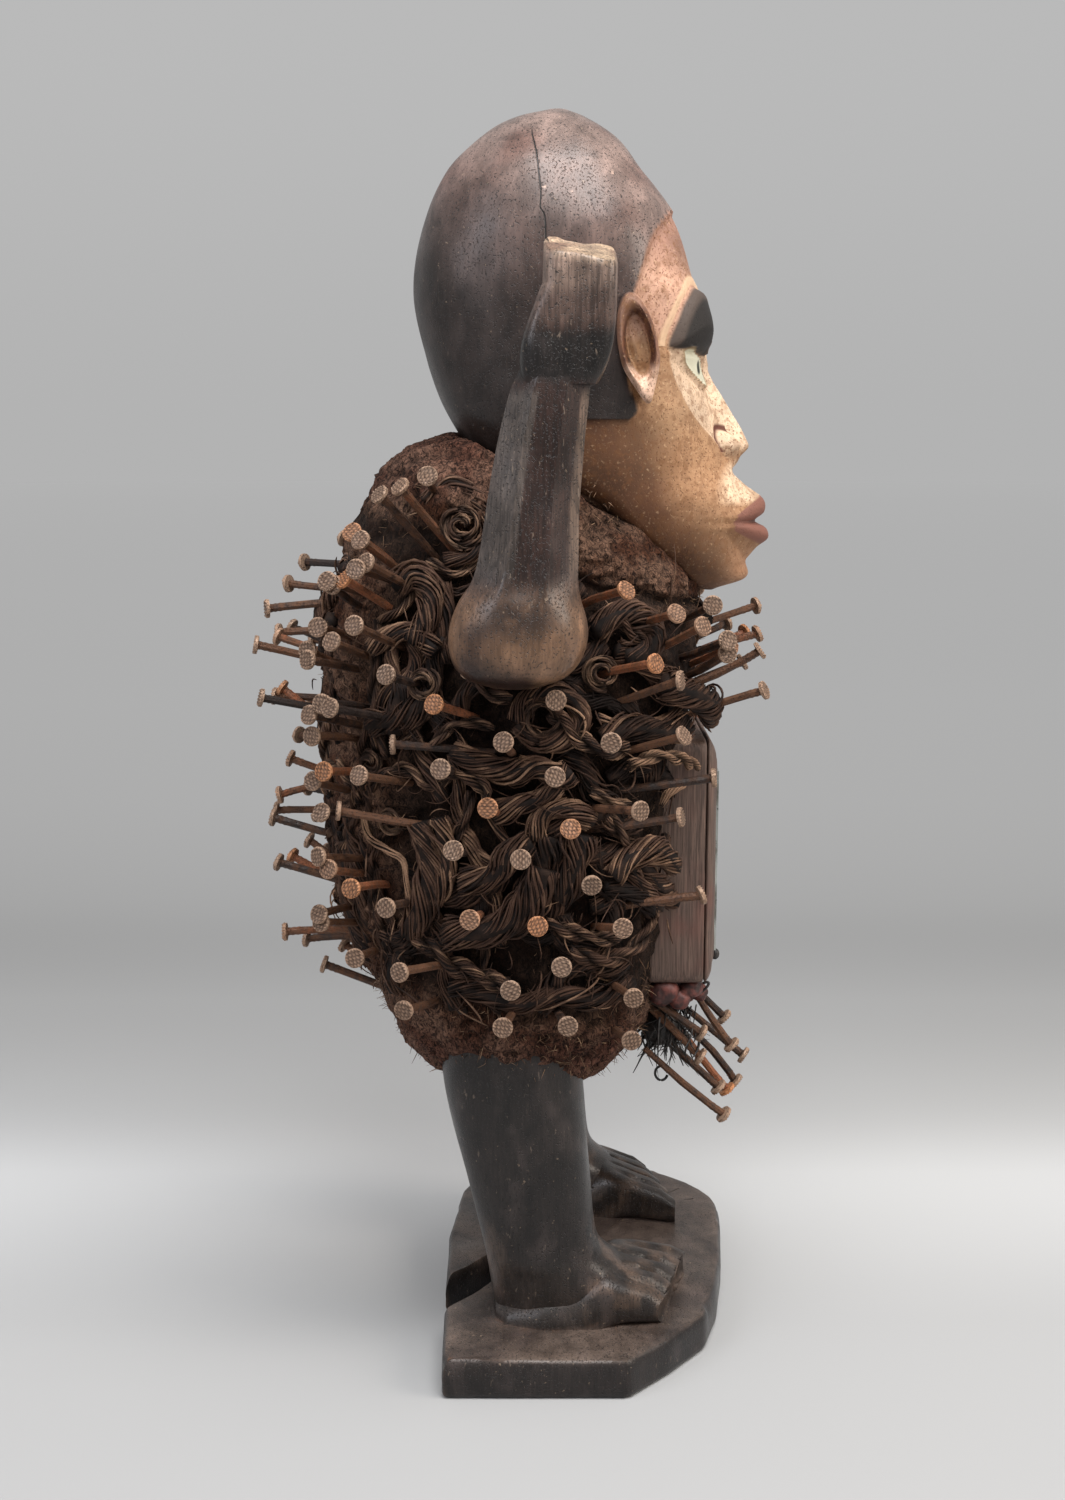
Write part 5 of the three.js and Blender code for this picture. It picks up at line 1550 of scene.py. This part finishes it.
def bumped(tree, shader, height, depth, strength=1.0):
    """Low relief from a height, its depth in millimetres."""
    made = node(tree, "Bump", inputs={"Height": height, "Distance": depth * MM, "Strength": strength})
    tree.links.new(made.outputs[0], shader.inputs["Normal"])


def grey(value):
    """A grey of that strength."""
    return (value, value, value, 1.0)


def handled_hardwood():
    """Oiled hardwood, carved with an adze and rubbed by hands: dark heartwood with a soft gloss, open
    pores, tan wood where the edges are rubbed, and matt earth paint on the face. Its hollows are
    darkened near black as painted shade, and turn brown low down at the feet and base."""
    material, tree, shader = new_material("handled_hardwood", 0.4, **{"Specular IOR Level": 0.4})
    colour = kept(tree, "tone", True)
    painted = kept(tree, "painted")
    bare = count_up(tree, "SUBTRACT", 1.0, painted)
    grain = kept(tree, "grain")
    mottle = noise_on(tree, 24, detail=6.0)
    colour = shaded(tree, 0.55, colour, between(tree, mottle, 0.3, 0.7), 0.55, 1.45)
    streak = noise_on(tree, 0.9, (1, 1, 16), detail=5.0, distortion=0.5)
    colour = shaded(tree, times(tree, grain, 0.85), colour, between(tree, streak, 0.36, 0.66), 0.5, 1.5)
    blotch = between(tree, noise_on(tree, 7, (1, 1, 1.6), detail=8.0, distortion=0.6), 0.3, 0.7)
    colour = shaded(tree, times(tree, bare, 0.7), colour, blotch, 0.55, 1.4)
    chipped = between(tree, noise_on(tree, 1.5, (1, 1, 3), detail=4.0), 0.66, 0.72)
    chipped = times(tree, chipped, times(tree, grain, bare))
    colour = blend(tree, times(tree, chipped, 0.35), colour, linear("#a89482"))
    bloom = between(tree, noise_on(tree, 11, (1, 1, 1.6), detail=6.0), 0.5, 0.75)
    colour = blend(tree, times(tree, bloom, times(tree, bare, 0.10)), colour, linear("#8f7d78"))
    pits = between(tree, noise_on(tree, 0.75, detail=3.0), 0.56, 0.68)
    pit_colour = blend(tree, painted, linear("#15100e"), linear("#6a4227"))
    colour = blend(tree, times(tree, pits, 0.8), colour, pit_colour)
    spots = [(2.2, 0.5, 0.5, "#7c5230"), (4.5, 0.5, 0.4, "#7a5233"), (1.2, 0.58, 0.4, "#d8b48c")]
    for size, low, share, hue in spots:
        stains = between(tree, noise_on(tree, size, detail=5.0), low, low + 0.16)
        colour = blend(tree, times(tree, times(tree, stains, painted), share), colour, linear(hue))
    flecks = between(tree, noise_on(tree, 1.6, detail=2.0), 0.70, 0.76)
    colour = blend(tree, times(tree, flecks, 0.28), colour, linear("#b79f86"))
    arch = kept(tree, "arch")
    ledge = times(tree, between(tree, arch, -3.4, -2.4), between(tree, arch, -0.3, -1.2))
    colour = blend(tree, times(tree, ledge, 0.8), colour, linear("#d9b795"))
    # Painted marks and their hues: the mouth's line and the nostril's crease are painted shade, the chips
    # are wear, the rest is paint
    marks = [
        ("brow", 0, 0.35, "#4d413a"), ("brow_dark", 0, 0.9, "#1f1a17"), ("eye", -0.45, 0.5, "#8a7350"),
        ("eye", 0, 0.3, "#cdc9b2"), ("pupil", 0, 0.35, "#33352b"), ("lips", 0, 0.45, "#7c5042"),
        ("mouth", 0, 0.35, "#2f1a15"), ("nostril", 0, 0.5, "#5c3122"), ("chips", 0, 0.3, "#c4a594"),
    ]
    for name, edge, soft, hue in marks:
        inside = between(tree, kept(tree, name), edge - soft, edge + soft)
        colour = blend(tree, inside, colour, linear(hue))
    # The open crack is drawn near black: painted shade in its gap
    apart = count_up(tree, "ABSOLUTE", kept(tree, "crack"), 0.0)
    split = times(tree, between(tree, apart, 0.38, 0.12), kept(tree, "cracked"))
    colour = blend(tree, split, colour, linear("#100b09"))
    rubbed = between(tree, noise_on(tree, 3.5, detail=5.0), 0.3, 0.6)
    worn = times(tree, kept(tree, "wear"), rubbed)
    colour = blend(tree, times(tree, worn, times(tree, bare, 0.65)), colour, linear("#94765d"))
    # Painted shade in the hollows, near black, turning brown low down at the feet and base
    height = node(tree, "SeparateXYZ", inputs={0: node(tree, "TexCoord").outputs["Object"]}).outputs[2]
    hollow_shade_and_low_brown = blend(tree, between(tree, height, 0.055, 0.035), linear("#1a120e"), linear("#6b4b38"))
    colour = blend(tree, times(tree, kept(tree, "hollow"), 0.7), colour, hollow_shade_and_low_brown)
    tree.links.new(colour, shader.inputs["Base Color"])
    gloss = between(tree, mottle, 0.25, 0.75, 0.27, 0.45)
    rough = node(tree, "Mix", {"data_type": "FLOAT"}, {0: painted, 2: gloss, 3: 0.6}).outputs[0]
    tree.links.new(rough, shader.inputs["Roughness"])
    relief = count_up(tree, "ADD", times(tree, streak, times(tree, grain, 0.8)), times(tree, pits, -0.8))
    relief = count_up(tree, "SUBTRACT", relief, times(tree, split, 2.0))
    bumped(tree, shader, relief, 0.18, 0.8)
    return material


def matted_fibre():
    """Felted plant fibre stiffened with earth: a matt brown tangle, with painted light on the clumps'
    crowns and painted shade, almost black, between them, under the cords and in the groove below the collar."""
    material, tree, shader = new_material("matted_fibre", 0.95, **{"Specular IOR Level": 0.15})
    warp = node(tree, "TexNoise", inputs={"Vector": stretched(tree, 3.0), "Scale": 1.0, "Detail": 3.0})
    coords = node(tree, "TexCoord").outputs["Object"]
    shifted = node(tree, "VectorMath", {"operation": "MULTIPLY_ADD"}, {
        0: warp.outputs["Color"], 1: (0.004, 0.004, 0.004), 2: coords}).outputs[0]
    scaled = node(tree, "Mapping", inputs={"Vector": shifted, "Scale": (900, 900, 420)}).outputs[0]
    fibre = node(tree, "TexNoise", inputs={
        "Vector": scaled, "Scale": 1.0, "Detail": 5.0, "Distortion": 1.2}).outputs["Fac"]
    colour = blend(tree, between(tree, fibre, 0.32, 0.68), linear("#1e1410"), linear("#6f5444"))
    colour = blend(tree, between(tree, noise_on(tree, 14, detail=4.0), 0.4, 0.65), colour,
                   blend(tree, 1.0, colour, linear("#b59a8a"), "MULTIPLY"))
    russet = times(tree, kept(tree, "russet"), 0.6)
    reddish = blend(tree, between(tree, fibre, 0.35, 0.7), linear("#1e1310"), linear("#6b4a40"))
    colour = blend(tree, russet, colour, reddish)
    # Painted light on the clumps' crowns and painted shade between them
    height = between(tree, kept(tree, "height"), -1.2, 1.4)
    colour = shaded(tree, 0.85, colour, height, 0.28, 1.35)
    # Painted shade, near black, under the cords and in the groove below the collar
    colour = blend(tree, times(tree, kept(tree, "belt"), 0.8), colour, linear("#0f0b09"))
    tree.links.new(colour, shader.inputs["Base Color"])
    bumped(tree, shader, fibre, 1.1, 1.0)
    return material


def raffia(name, dark, middle, pale):
    """Raffia, dried palm leaf split and rolled into cord: long smooth strands with a dull sheen, each
    its own tone from soot brown to straw, with painted shade towards each cord's core and painted light on
    its outermost strands."""
    material, tree, shader = new_material(name, 0.75, **{"Specular IOR Level": 0.2})
    tone = kept(tree, "tone")
    blotch = noise_on(tree, 6, detail=5.0)
    value = count_up(tree, "ADD", tone, times(tree, count_up(tree, "SUBTRACT", blotch, 0.5), 1.1))
    colour = blend(tree, between(tree, value, 0.02, 0.5), linear(dark), linear(middle))
    colour = blend(tree, between(tree, value, 0.5, 1.05), colour, linear(pale))
    fine = noise_on(tree, 0.5, detail=3.0)
    colour = shaded(tree, 0.5, colour, between(tree, fine, 0.3, 0.7), 0.6, 1.3)
    # Painted light on the strands that lie outermost and painted shade towards each cord's core
    colour = shaded(tree, 0.9, colour, between(tree, kept(tree, "crest"), 0.35, 0.95), 0.22, 1.15)
    tree.links.new(colour, shader.inputs["Base Color"])
    bumped(tree, shader, fine, 0.12, 0.7)
    return material


def rusted_iron():
    """Forged wire nails, rusted for a century and handled: brown scale with orange and tan bloom, a
    dull metal glint on the rubbed heads, and painted shade in the low lines of the heads' pressed pattern."""
    material, tree, shader = new_material("rusted_iron", 0.6, **{"Metallic": 0.25})
    rust = kept(tree, "rust")
    patch = noise_on(tree, 3.2, detail=5.0)
    value = count_up(tree, "ADD", rust, times(tree, count_up(tree, "SUBTRACT", patch, 0.5), 0.9))
    colour = blend(tree, between(tree, value, 0.05, 0.5), linear("#271c17"), linear("#65442f"))
    colour = blend(tree, between(tree, value, 0.55, 1.0), colour, linear("#94593a"))
    heads = times(tree, kept(tree, "head"), 0.75)
    pale = blend(tree, between(tree, rust, 0.6, 0.9), linear("#b3947c"), linear("#cf8f60"))
    colour = blend(tree, heads, colour, pale)
    # The low lines of the heads' pressed pattern are darkened: painted shade
    colour = blend(tree, times(tree, kept(tree, "pressed"), 0.78), colour, linear("#3a271d"))
    specks = between(tree, noise_on(tree, 0.7, detail=3.0), 0.52, 0.66)
    colour = blend(tree, times(tree, specks, 0.6), colour, linear("#38241a"))
    tree.links.new(colour, shader.inputs["Base Color"])
    rough = between(tree, patch, 0.3, 0.7, 0.45, 0.8)
    tree.links.new(rough, shader.inputs["Roughness"])
    bumped(tree, shader, specks, 0.25, 0.8)
    return material


def split_boards():
    """Riven hardwood board, greyed and smoked: fine upright grain in grey brown, redder in places,
    with a matt rubbed surface."""
    material, tree, shader = new_material("split_boards", 0.6)
    grain = noise_on(tree, 0.7, (1, 1, 26), detail=6.0, distortion=0.5)
    colour = blend(tree, between(tree, grain, 0.2, 0.8), linear("#382a24"), linear("#735c50"))
    red = between(tree, noise_on(tree, 15, (1, 1, 2), detail=4.0), 0.45, 0.7)
    colour = blend(tree, times(tree, red, 0.55), colour, linear("#6a4036"))
    pores = between(tree, noise_on(tree, 0.5, (1, 1, 8), detail=3.0), 0.6, 0.7)
    colour = blend(tree, times(tree, pores, 0.35), colour, linear("#1f1512"))
    tree.links.new(colour, shader.inputs["Base Color"])
    bumped(tree, shader, grain, 0.2, 0.9)
    return material


def old_mirror():
    """Hand-silvered glass gone cloudy: grey reflections and brown spots."""
    material, tree, shader = new_material("old_mirror", 0.12, **{"Metallic": 0.85, "Coat Weight": 0.6})
    cloud = noise_on(tree, 9, detail=6.0)
    colour = blend(tree, between(tree, cloud, 0.42, 0.7), linear("#a9aca6"), linear("#5b5348"))
    spots = between(tree, noise_on(tree, 1.8, detail=3.0), 0.64, 0.70)
    colour = blend(tree, spots, colour, linear("#2c221b"))
    tree.links.new(colour, shader.inputs["Base Color"])
    rough = between(tree, cloud, 0.35, 0.7, 0.08, 0.5)
    tree.links.new(rough, shader.inputs["Roughness"])
    return material


def red_resin():
    """Tree resin mixed with red earth: a dull lumpy crust."""
    material, tree, shader = new_material("red_resin", 0.55)
    patch = noise_on(tree, 3, detail=5.0)
    colour = blend(tree, between(tree, patch, 0.35, 0.7), linear("#2f1613"), linear("#6e3a32"))
    tree.links.new(colour, shader.inputs["Base Color"])
    bumped(tree, shader, patch, 0.6, 1.0)
    return material


def black_fibre():
    """Bast fibre black with soot and oil: slightly shiny dark strings."""
    material, tree, shader = new_material("black_fibre", 0.5)
    streak = noise_on(tree, 1.4, detail=4.0)
    colour = blend(tree, between(tree, streak, 0.35, 0.75), linear("#0d0b0b"), linear("#3a332f"))
    tree.links.new(colour, shader.inputs["Base Color"])
    return material


def seamless_paper():
    """Matt studio paper: it takes the soft shadow round the figure, and further off it is darker in colour
    and glows evenly with painted light of its own, which leaves a pale band behind the figure."""
    material, tree, shader = new_material("seamless_paper", 0.9, **{"Specular IOR Level": 0.1})
    coords = node(tree, "TexCoord").outputs["Object"]
    behind = node(tree, "SeparateXYZ", inputs={0: coords}).outputs[0]
    reach = node(tree, "VectorMath", {"operation": "LENGTH"}, {0: coords}).outputs["Value"]
    behind = count_up(tree, "MAXIMUM", behind, count_up(tree, "SUBTRACT", reach, PAPER_CLEARING * MM))
    away = between(tree, behind, 0.10, 0.55)
    tree.links.new(blend(tree, away, grey(0.40), grey(0.16)), shader.inputs["Base Color"])
    # The glow: painted light that the paper gives off itself, with a pale band behind the figure and
    # brighter further off
    first, last = PAPER_LIGHT[0][0], PAPER_LIGHT[-1][0]
    share = node(tree, "MapRange", inputs={
        "Value": behind, "From Min": first * MM, "From Max": last * MM}).outputs[0]
    painted_glow = node(tree, "ValToRGB", inputs={0: count_up(tree, "POWER", share, PAPER_NEARNESS)})
    ramp = painted_glow.color_ramp
    ramp.interpolation = "B_SPLINE"
    for behind_by, strength in PAPER_LIGHT[1:-1]:
        stop = ramp.elements.new(((behind_by - first) / (last - first)) ** PAPER_NEARNESS)
        stop.color = grey(strength)
    ramp.elements[0].color, ramp.elements[-1].color = grey(PAPER_LIGHT[0][1]), grey(PAPER_LIGHT[-1][1])
    tree.links.new(painted_glow.outputs[0], shader.inputs["Emission Color"])
    shader.inputs["Emission Strength"].default_value = 1.0
    return material


# The stage

def add_light(name, place_at, size, watts, hue="#ffffff", target=(0, -0.02, 0.24)):
    """A square softbox at a place, turned to face the figure."""
    light = bpy.data.lights.new(name, "AREA")
    light.size, light.energy = size, watts
    light.color = linear(hue)[:3]
    lamp = bpy.data.objects.new(name, light)
    bpy.context.scene.collection.objects.link(lamp)
    way = np.array(target) - np.array(place_at)
    flat = math.hypot(way[0], way[1])
    lamp.location = place_at
    pitch, heading = math.atan2(way[2], flat), math.atan2(way[1], way[0])
    lamp.rotation_euler = Euler((math.pi / 2 + pitch, 0, heading - math.pi / 2))
    return lamp


def make_stage(settings):
    """A wide pale floor, an even grey surround, soft lights and the camera."""
    turn = turns(96)
    radius = np.array([0.001, 150, 400, 900, 2500, 9000])[:, None]
    rings = place(radius * np.cos(turn), radius * np.sin(turn), -0.02)
    index = np.arange(radius.size * 96).reshape(-1, 96)
    beside = np.roll(index, -1, axis=1)
    quads = np.stack([index[:-1], index[1:], beside[1:], beside[:-1]], -1).reshape(-1, 4)
    mesh = build_mesh("studio_floor", rings.reshape(-1, 3), quads)
    normals_up = mesh.polygons[0].normal.z > 0
    if not normals_up:
        mesh.flip_normals()
    mesh.materials.append(seamless_paper())
    floor = bpy.data.objects.new("studio_floor", mesh)
    bpy.context.scene.collection.objects.link(floor)

    world = bpy.data.worlds.new("studio_surround")
    bpy.context.scene.world = world
    world.use_nodes = True
    tree = world.node_tree
    coords = node(tree, "TexCoord").outputs["Generated"]
    height = node(tree, "SeparateXYZ", inputs={0: coords}).outputs[2]
    sky = blend(tree, between(tree, height, -0.02, 0.2), grey(0.45), grey(settings.surround))
    tree.links.new(sky, tree.nodes["Background"].inputs["Color"])

    add_light("top_softbox", (-0.45, -0.15, 1.30), 0.8, 19 * settings.light)
    add_light("front_softbox", (-0.45, -1.20, 0.80), 0.6, 9 * settings.light, "#fff4e8")
    add_light("back_softbox", (-0.70, 1.00, 0.90), 0.6, 6 * settings.light, "#f4f6ff")

    camera = bpy.data.cameras.new("studio_camera")
    camera.sensor_width = SENSOR
    camera.lens = CAMERA["focal_pixels"] / PHOTO_HEIGHT * SENSOR
    camera.clip_start = 0.01
    camera.clip_end = 50
    holder = bpy.data.objects.new("studio_camera", camera)
    bpy.context.scene.collection.objects.link(holder)
    holder.location = tuple(place(CAMERA["side"], CAMERA["ahead"], CAMERA["up"]) * MM)
    holder.rotation_euler = Euler((math.pi / 2 - math.radians(CAMERA["pitch"]), 0, -math.pi / 2))
    bpy.context.scene.camera = holder
    bpy.context.scene.view_settings.view_transform = "Standard"


class FigureSettings(bpy.types.PropertyGroup):
    """What a user would change about the figure and its stage."""
    seed: bpy.props.IntProperty(
        name="Seed", description="Draws the strays and the hidden side's cords anew", default=7, min=0)
    light: bpy.props.FloatProperty(
        name="Light", description="Strength of all the softboxes together", default=1.0, min=0.0)
    surround: bpy.props.FloatProperty(
        name="Surround", description="Grey of the upper surround, in linear light",
        default=0.49, min=0.0, max=1.0)


class StageOperator(bpy.types.Operator):
    """Make the floor, the lights and the camera"""
    bl_idname = "power_figure.stage"
    bl_label = "Stage"

    def execute(self, context):
        make_stage(context.scene.power_figure)
        return {"FINISHED"}


class CarvingOperator(bpy.types.Operator):
    """Make the carved wooden figure on its base"""
    bl_idname = "power_figure.carving"
    bl_label = "Carved figure"

    def execute(self, context):
        show("carving", carve_figure(), handled_hardwood(), ["carved_figure"])
        return {"FINISHED"}


class CoatOperator(bpy.types.Operator):
    """Make the coat of matted fibre and its stray fibres"""
    bl_idname = "power_figure.coat"
    bl_label = "Fibre coat"

    def execute(self, context):
        rng = np.random.default_rng(context.scene.power_figure.seed)
        show("coat", weave_coat(), matted_fibre(), ["fibre_coat"])
        stray = raffia("stray_fibre", "#1f1612", "#5d4636", "#9a7d63")
        show("coat_fuzz", fuzz_coat(rng), stray, ["fibre_coat"])
        return {"FINISHED"}


class CordsOperator(bpy.types.Operator):
    """Wind the cords on both sides and lay loose strands over them"""
    bl_idname = "power_figure.cords"
    bl_label = "Cords"

    def execute(self, context):
        rng = np.random.default_rng(context.scene.power_figure.seed + 1)
        material = raffia("rolled_raffia", "#1a100c", "#483328", "#8f7059")
        show("cords_right", wind_right_cords(rng), material, nodes_named("cord_hank"))
        show("cords_hidden_side", wind_hidden_cords(rng), material, nodes_named("cord_hank"))
        show("cords_back_edge", wind_back_cords(rng), material, nodes_named("cord_hank"))
        show("loose_strands", loose_fibres(rng), material, nodes_named("cord_hank"))
        return {"FINISHED"}


class NailsOperator(bpy.types.Operator):
    """Drive the round-headed nails into the coat"""
    bl_idname = "power_figure.nails"
    bl_label = "Nails"

    def execute(self, context):
        rng = np.random.default_rng(context.scene.power_figure.seed + 2)
        mesh = drive_nails(*nail_places(rng), rng)
        show("nails", mesh, rusted_iron(), nodes_named("nail_"))
        return {"FINISHED"}


class BoxOperator(bpy.types.Operator):
    """Make the box on the belly, its mirror, resin, wire and black tuft"""
    bl_idname = "power_figure.box"
    bl_label = "Belly box"

    def execute(self, context):
        rng = np.random.default_rng(context.scene.power_figure.seed + 3)
        boards = split_boards()
        show("box", make_box_mesh(), boards, ["belly_box"])
        show("box_lid", make_lid_mesh(), boards, ["belly_box_lid"])
        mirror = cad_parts["belly_box_mirror"]
        mirror.data.materials.clear()
        mirror.data.materials.append(old_mirror())
        show("resin_lumps", make_resin_mesh(), red_resin())
        show("wire_and_bead", make_fittings_mesh(), black_fibre())
        show("black_tuft", make_tuft_mesh(rng), black_fibre(), ["fibre_tuft"])
        return {"FINISHED"}


class FigurePanel(bpy.types.Panel):
    """The figure's settings and one button for each group of pieces"""
    bl_idname = "VIEW3D_PT_power_figure"
    bl_label = "Power figure"
    bl_space_type = "VIEW_3D"
    bl_region_type = "UI"
    bl_category = "Power figure"

    def draw(self, context):
        for name in ("seed", "light", "surround"):
            self.layout.prop(context.scene.power_figure, name)
        for operator in OPERATORS:
            self.layout.operator(operator.bl_idname)


OPERATORS = (StageOperator, CarvingOperator, CoatOperator, CordsOperator, NailsOperator, BoxOperator)


def register():
    for part in (FigureSettings, *OPERATORS, FigurePanel):
        bpy.utils.register_class(part)
    bpy.types.Scene.power_figure = bpy.props.PointerProperty(type=FigureSettings)


def unregister():
    del bpy.types.Scene.power_figure
    for part in (FigurePanel, *reversed(OPERATORS), FigureSettings):
        bpy.utils.unregister_class(part)


def main():
    """Makes the stage and every piece."""
    register()
    for name in ("stage", "carving", "coat", "cords", "nails", "box"):
        getattr(bpy.ops.power_figure, name)()


if __name__ == "__main__":
    main()
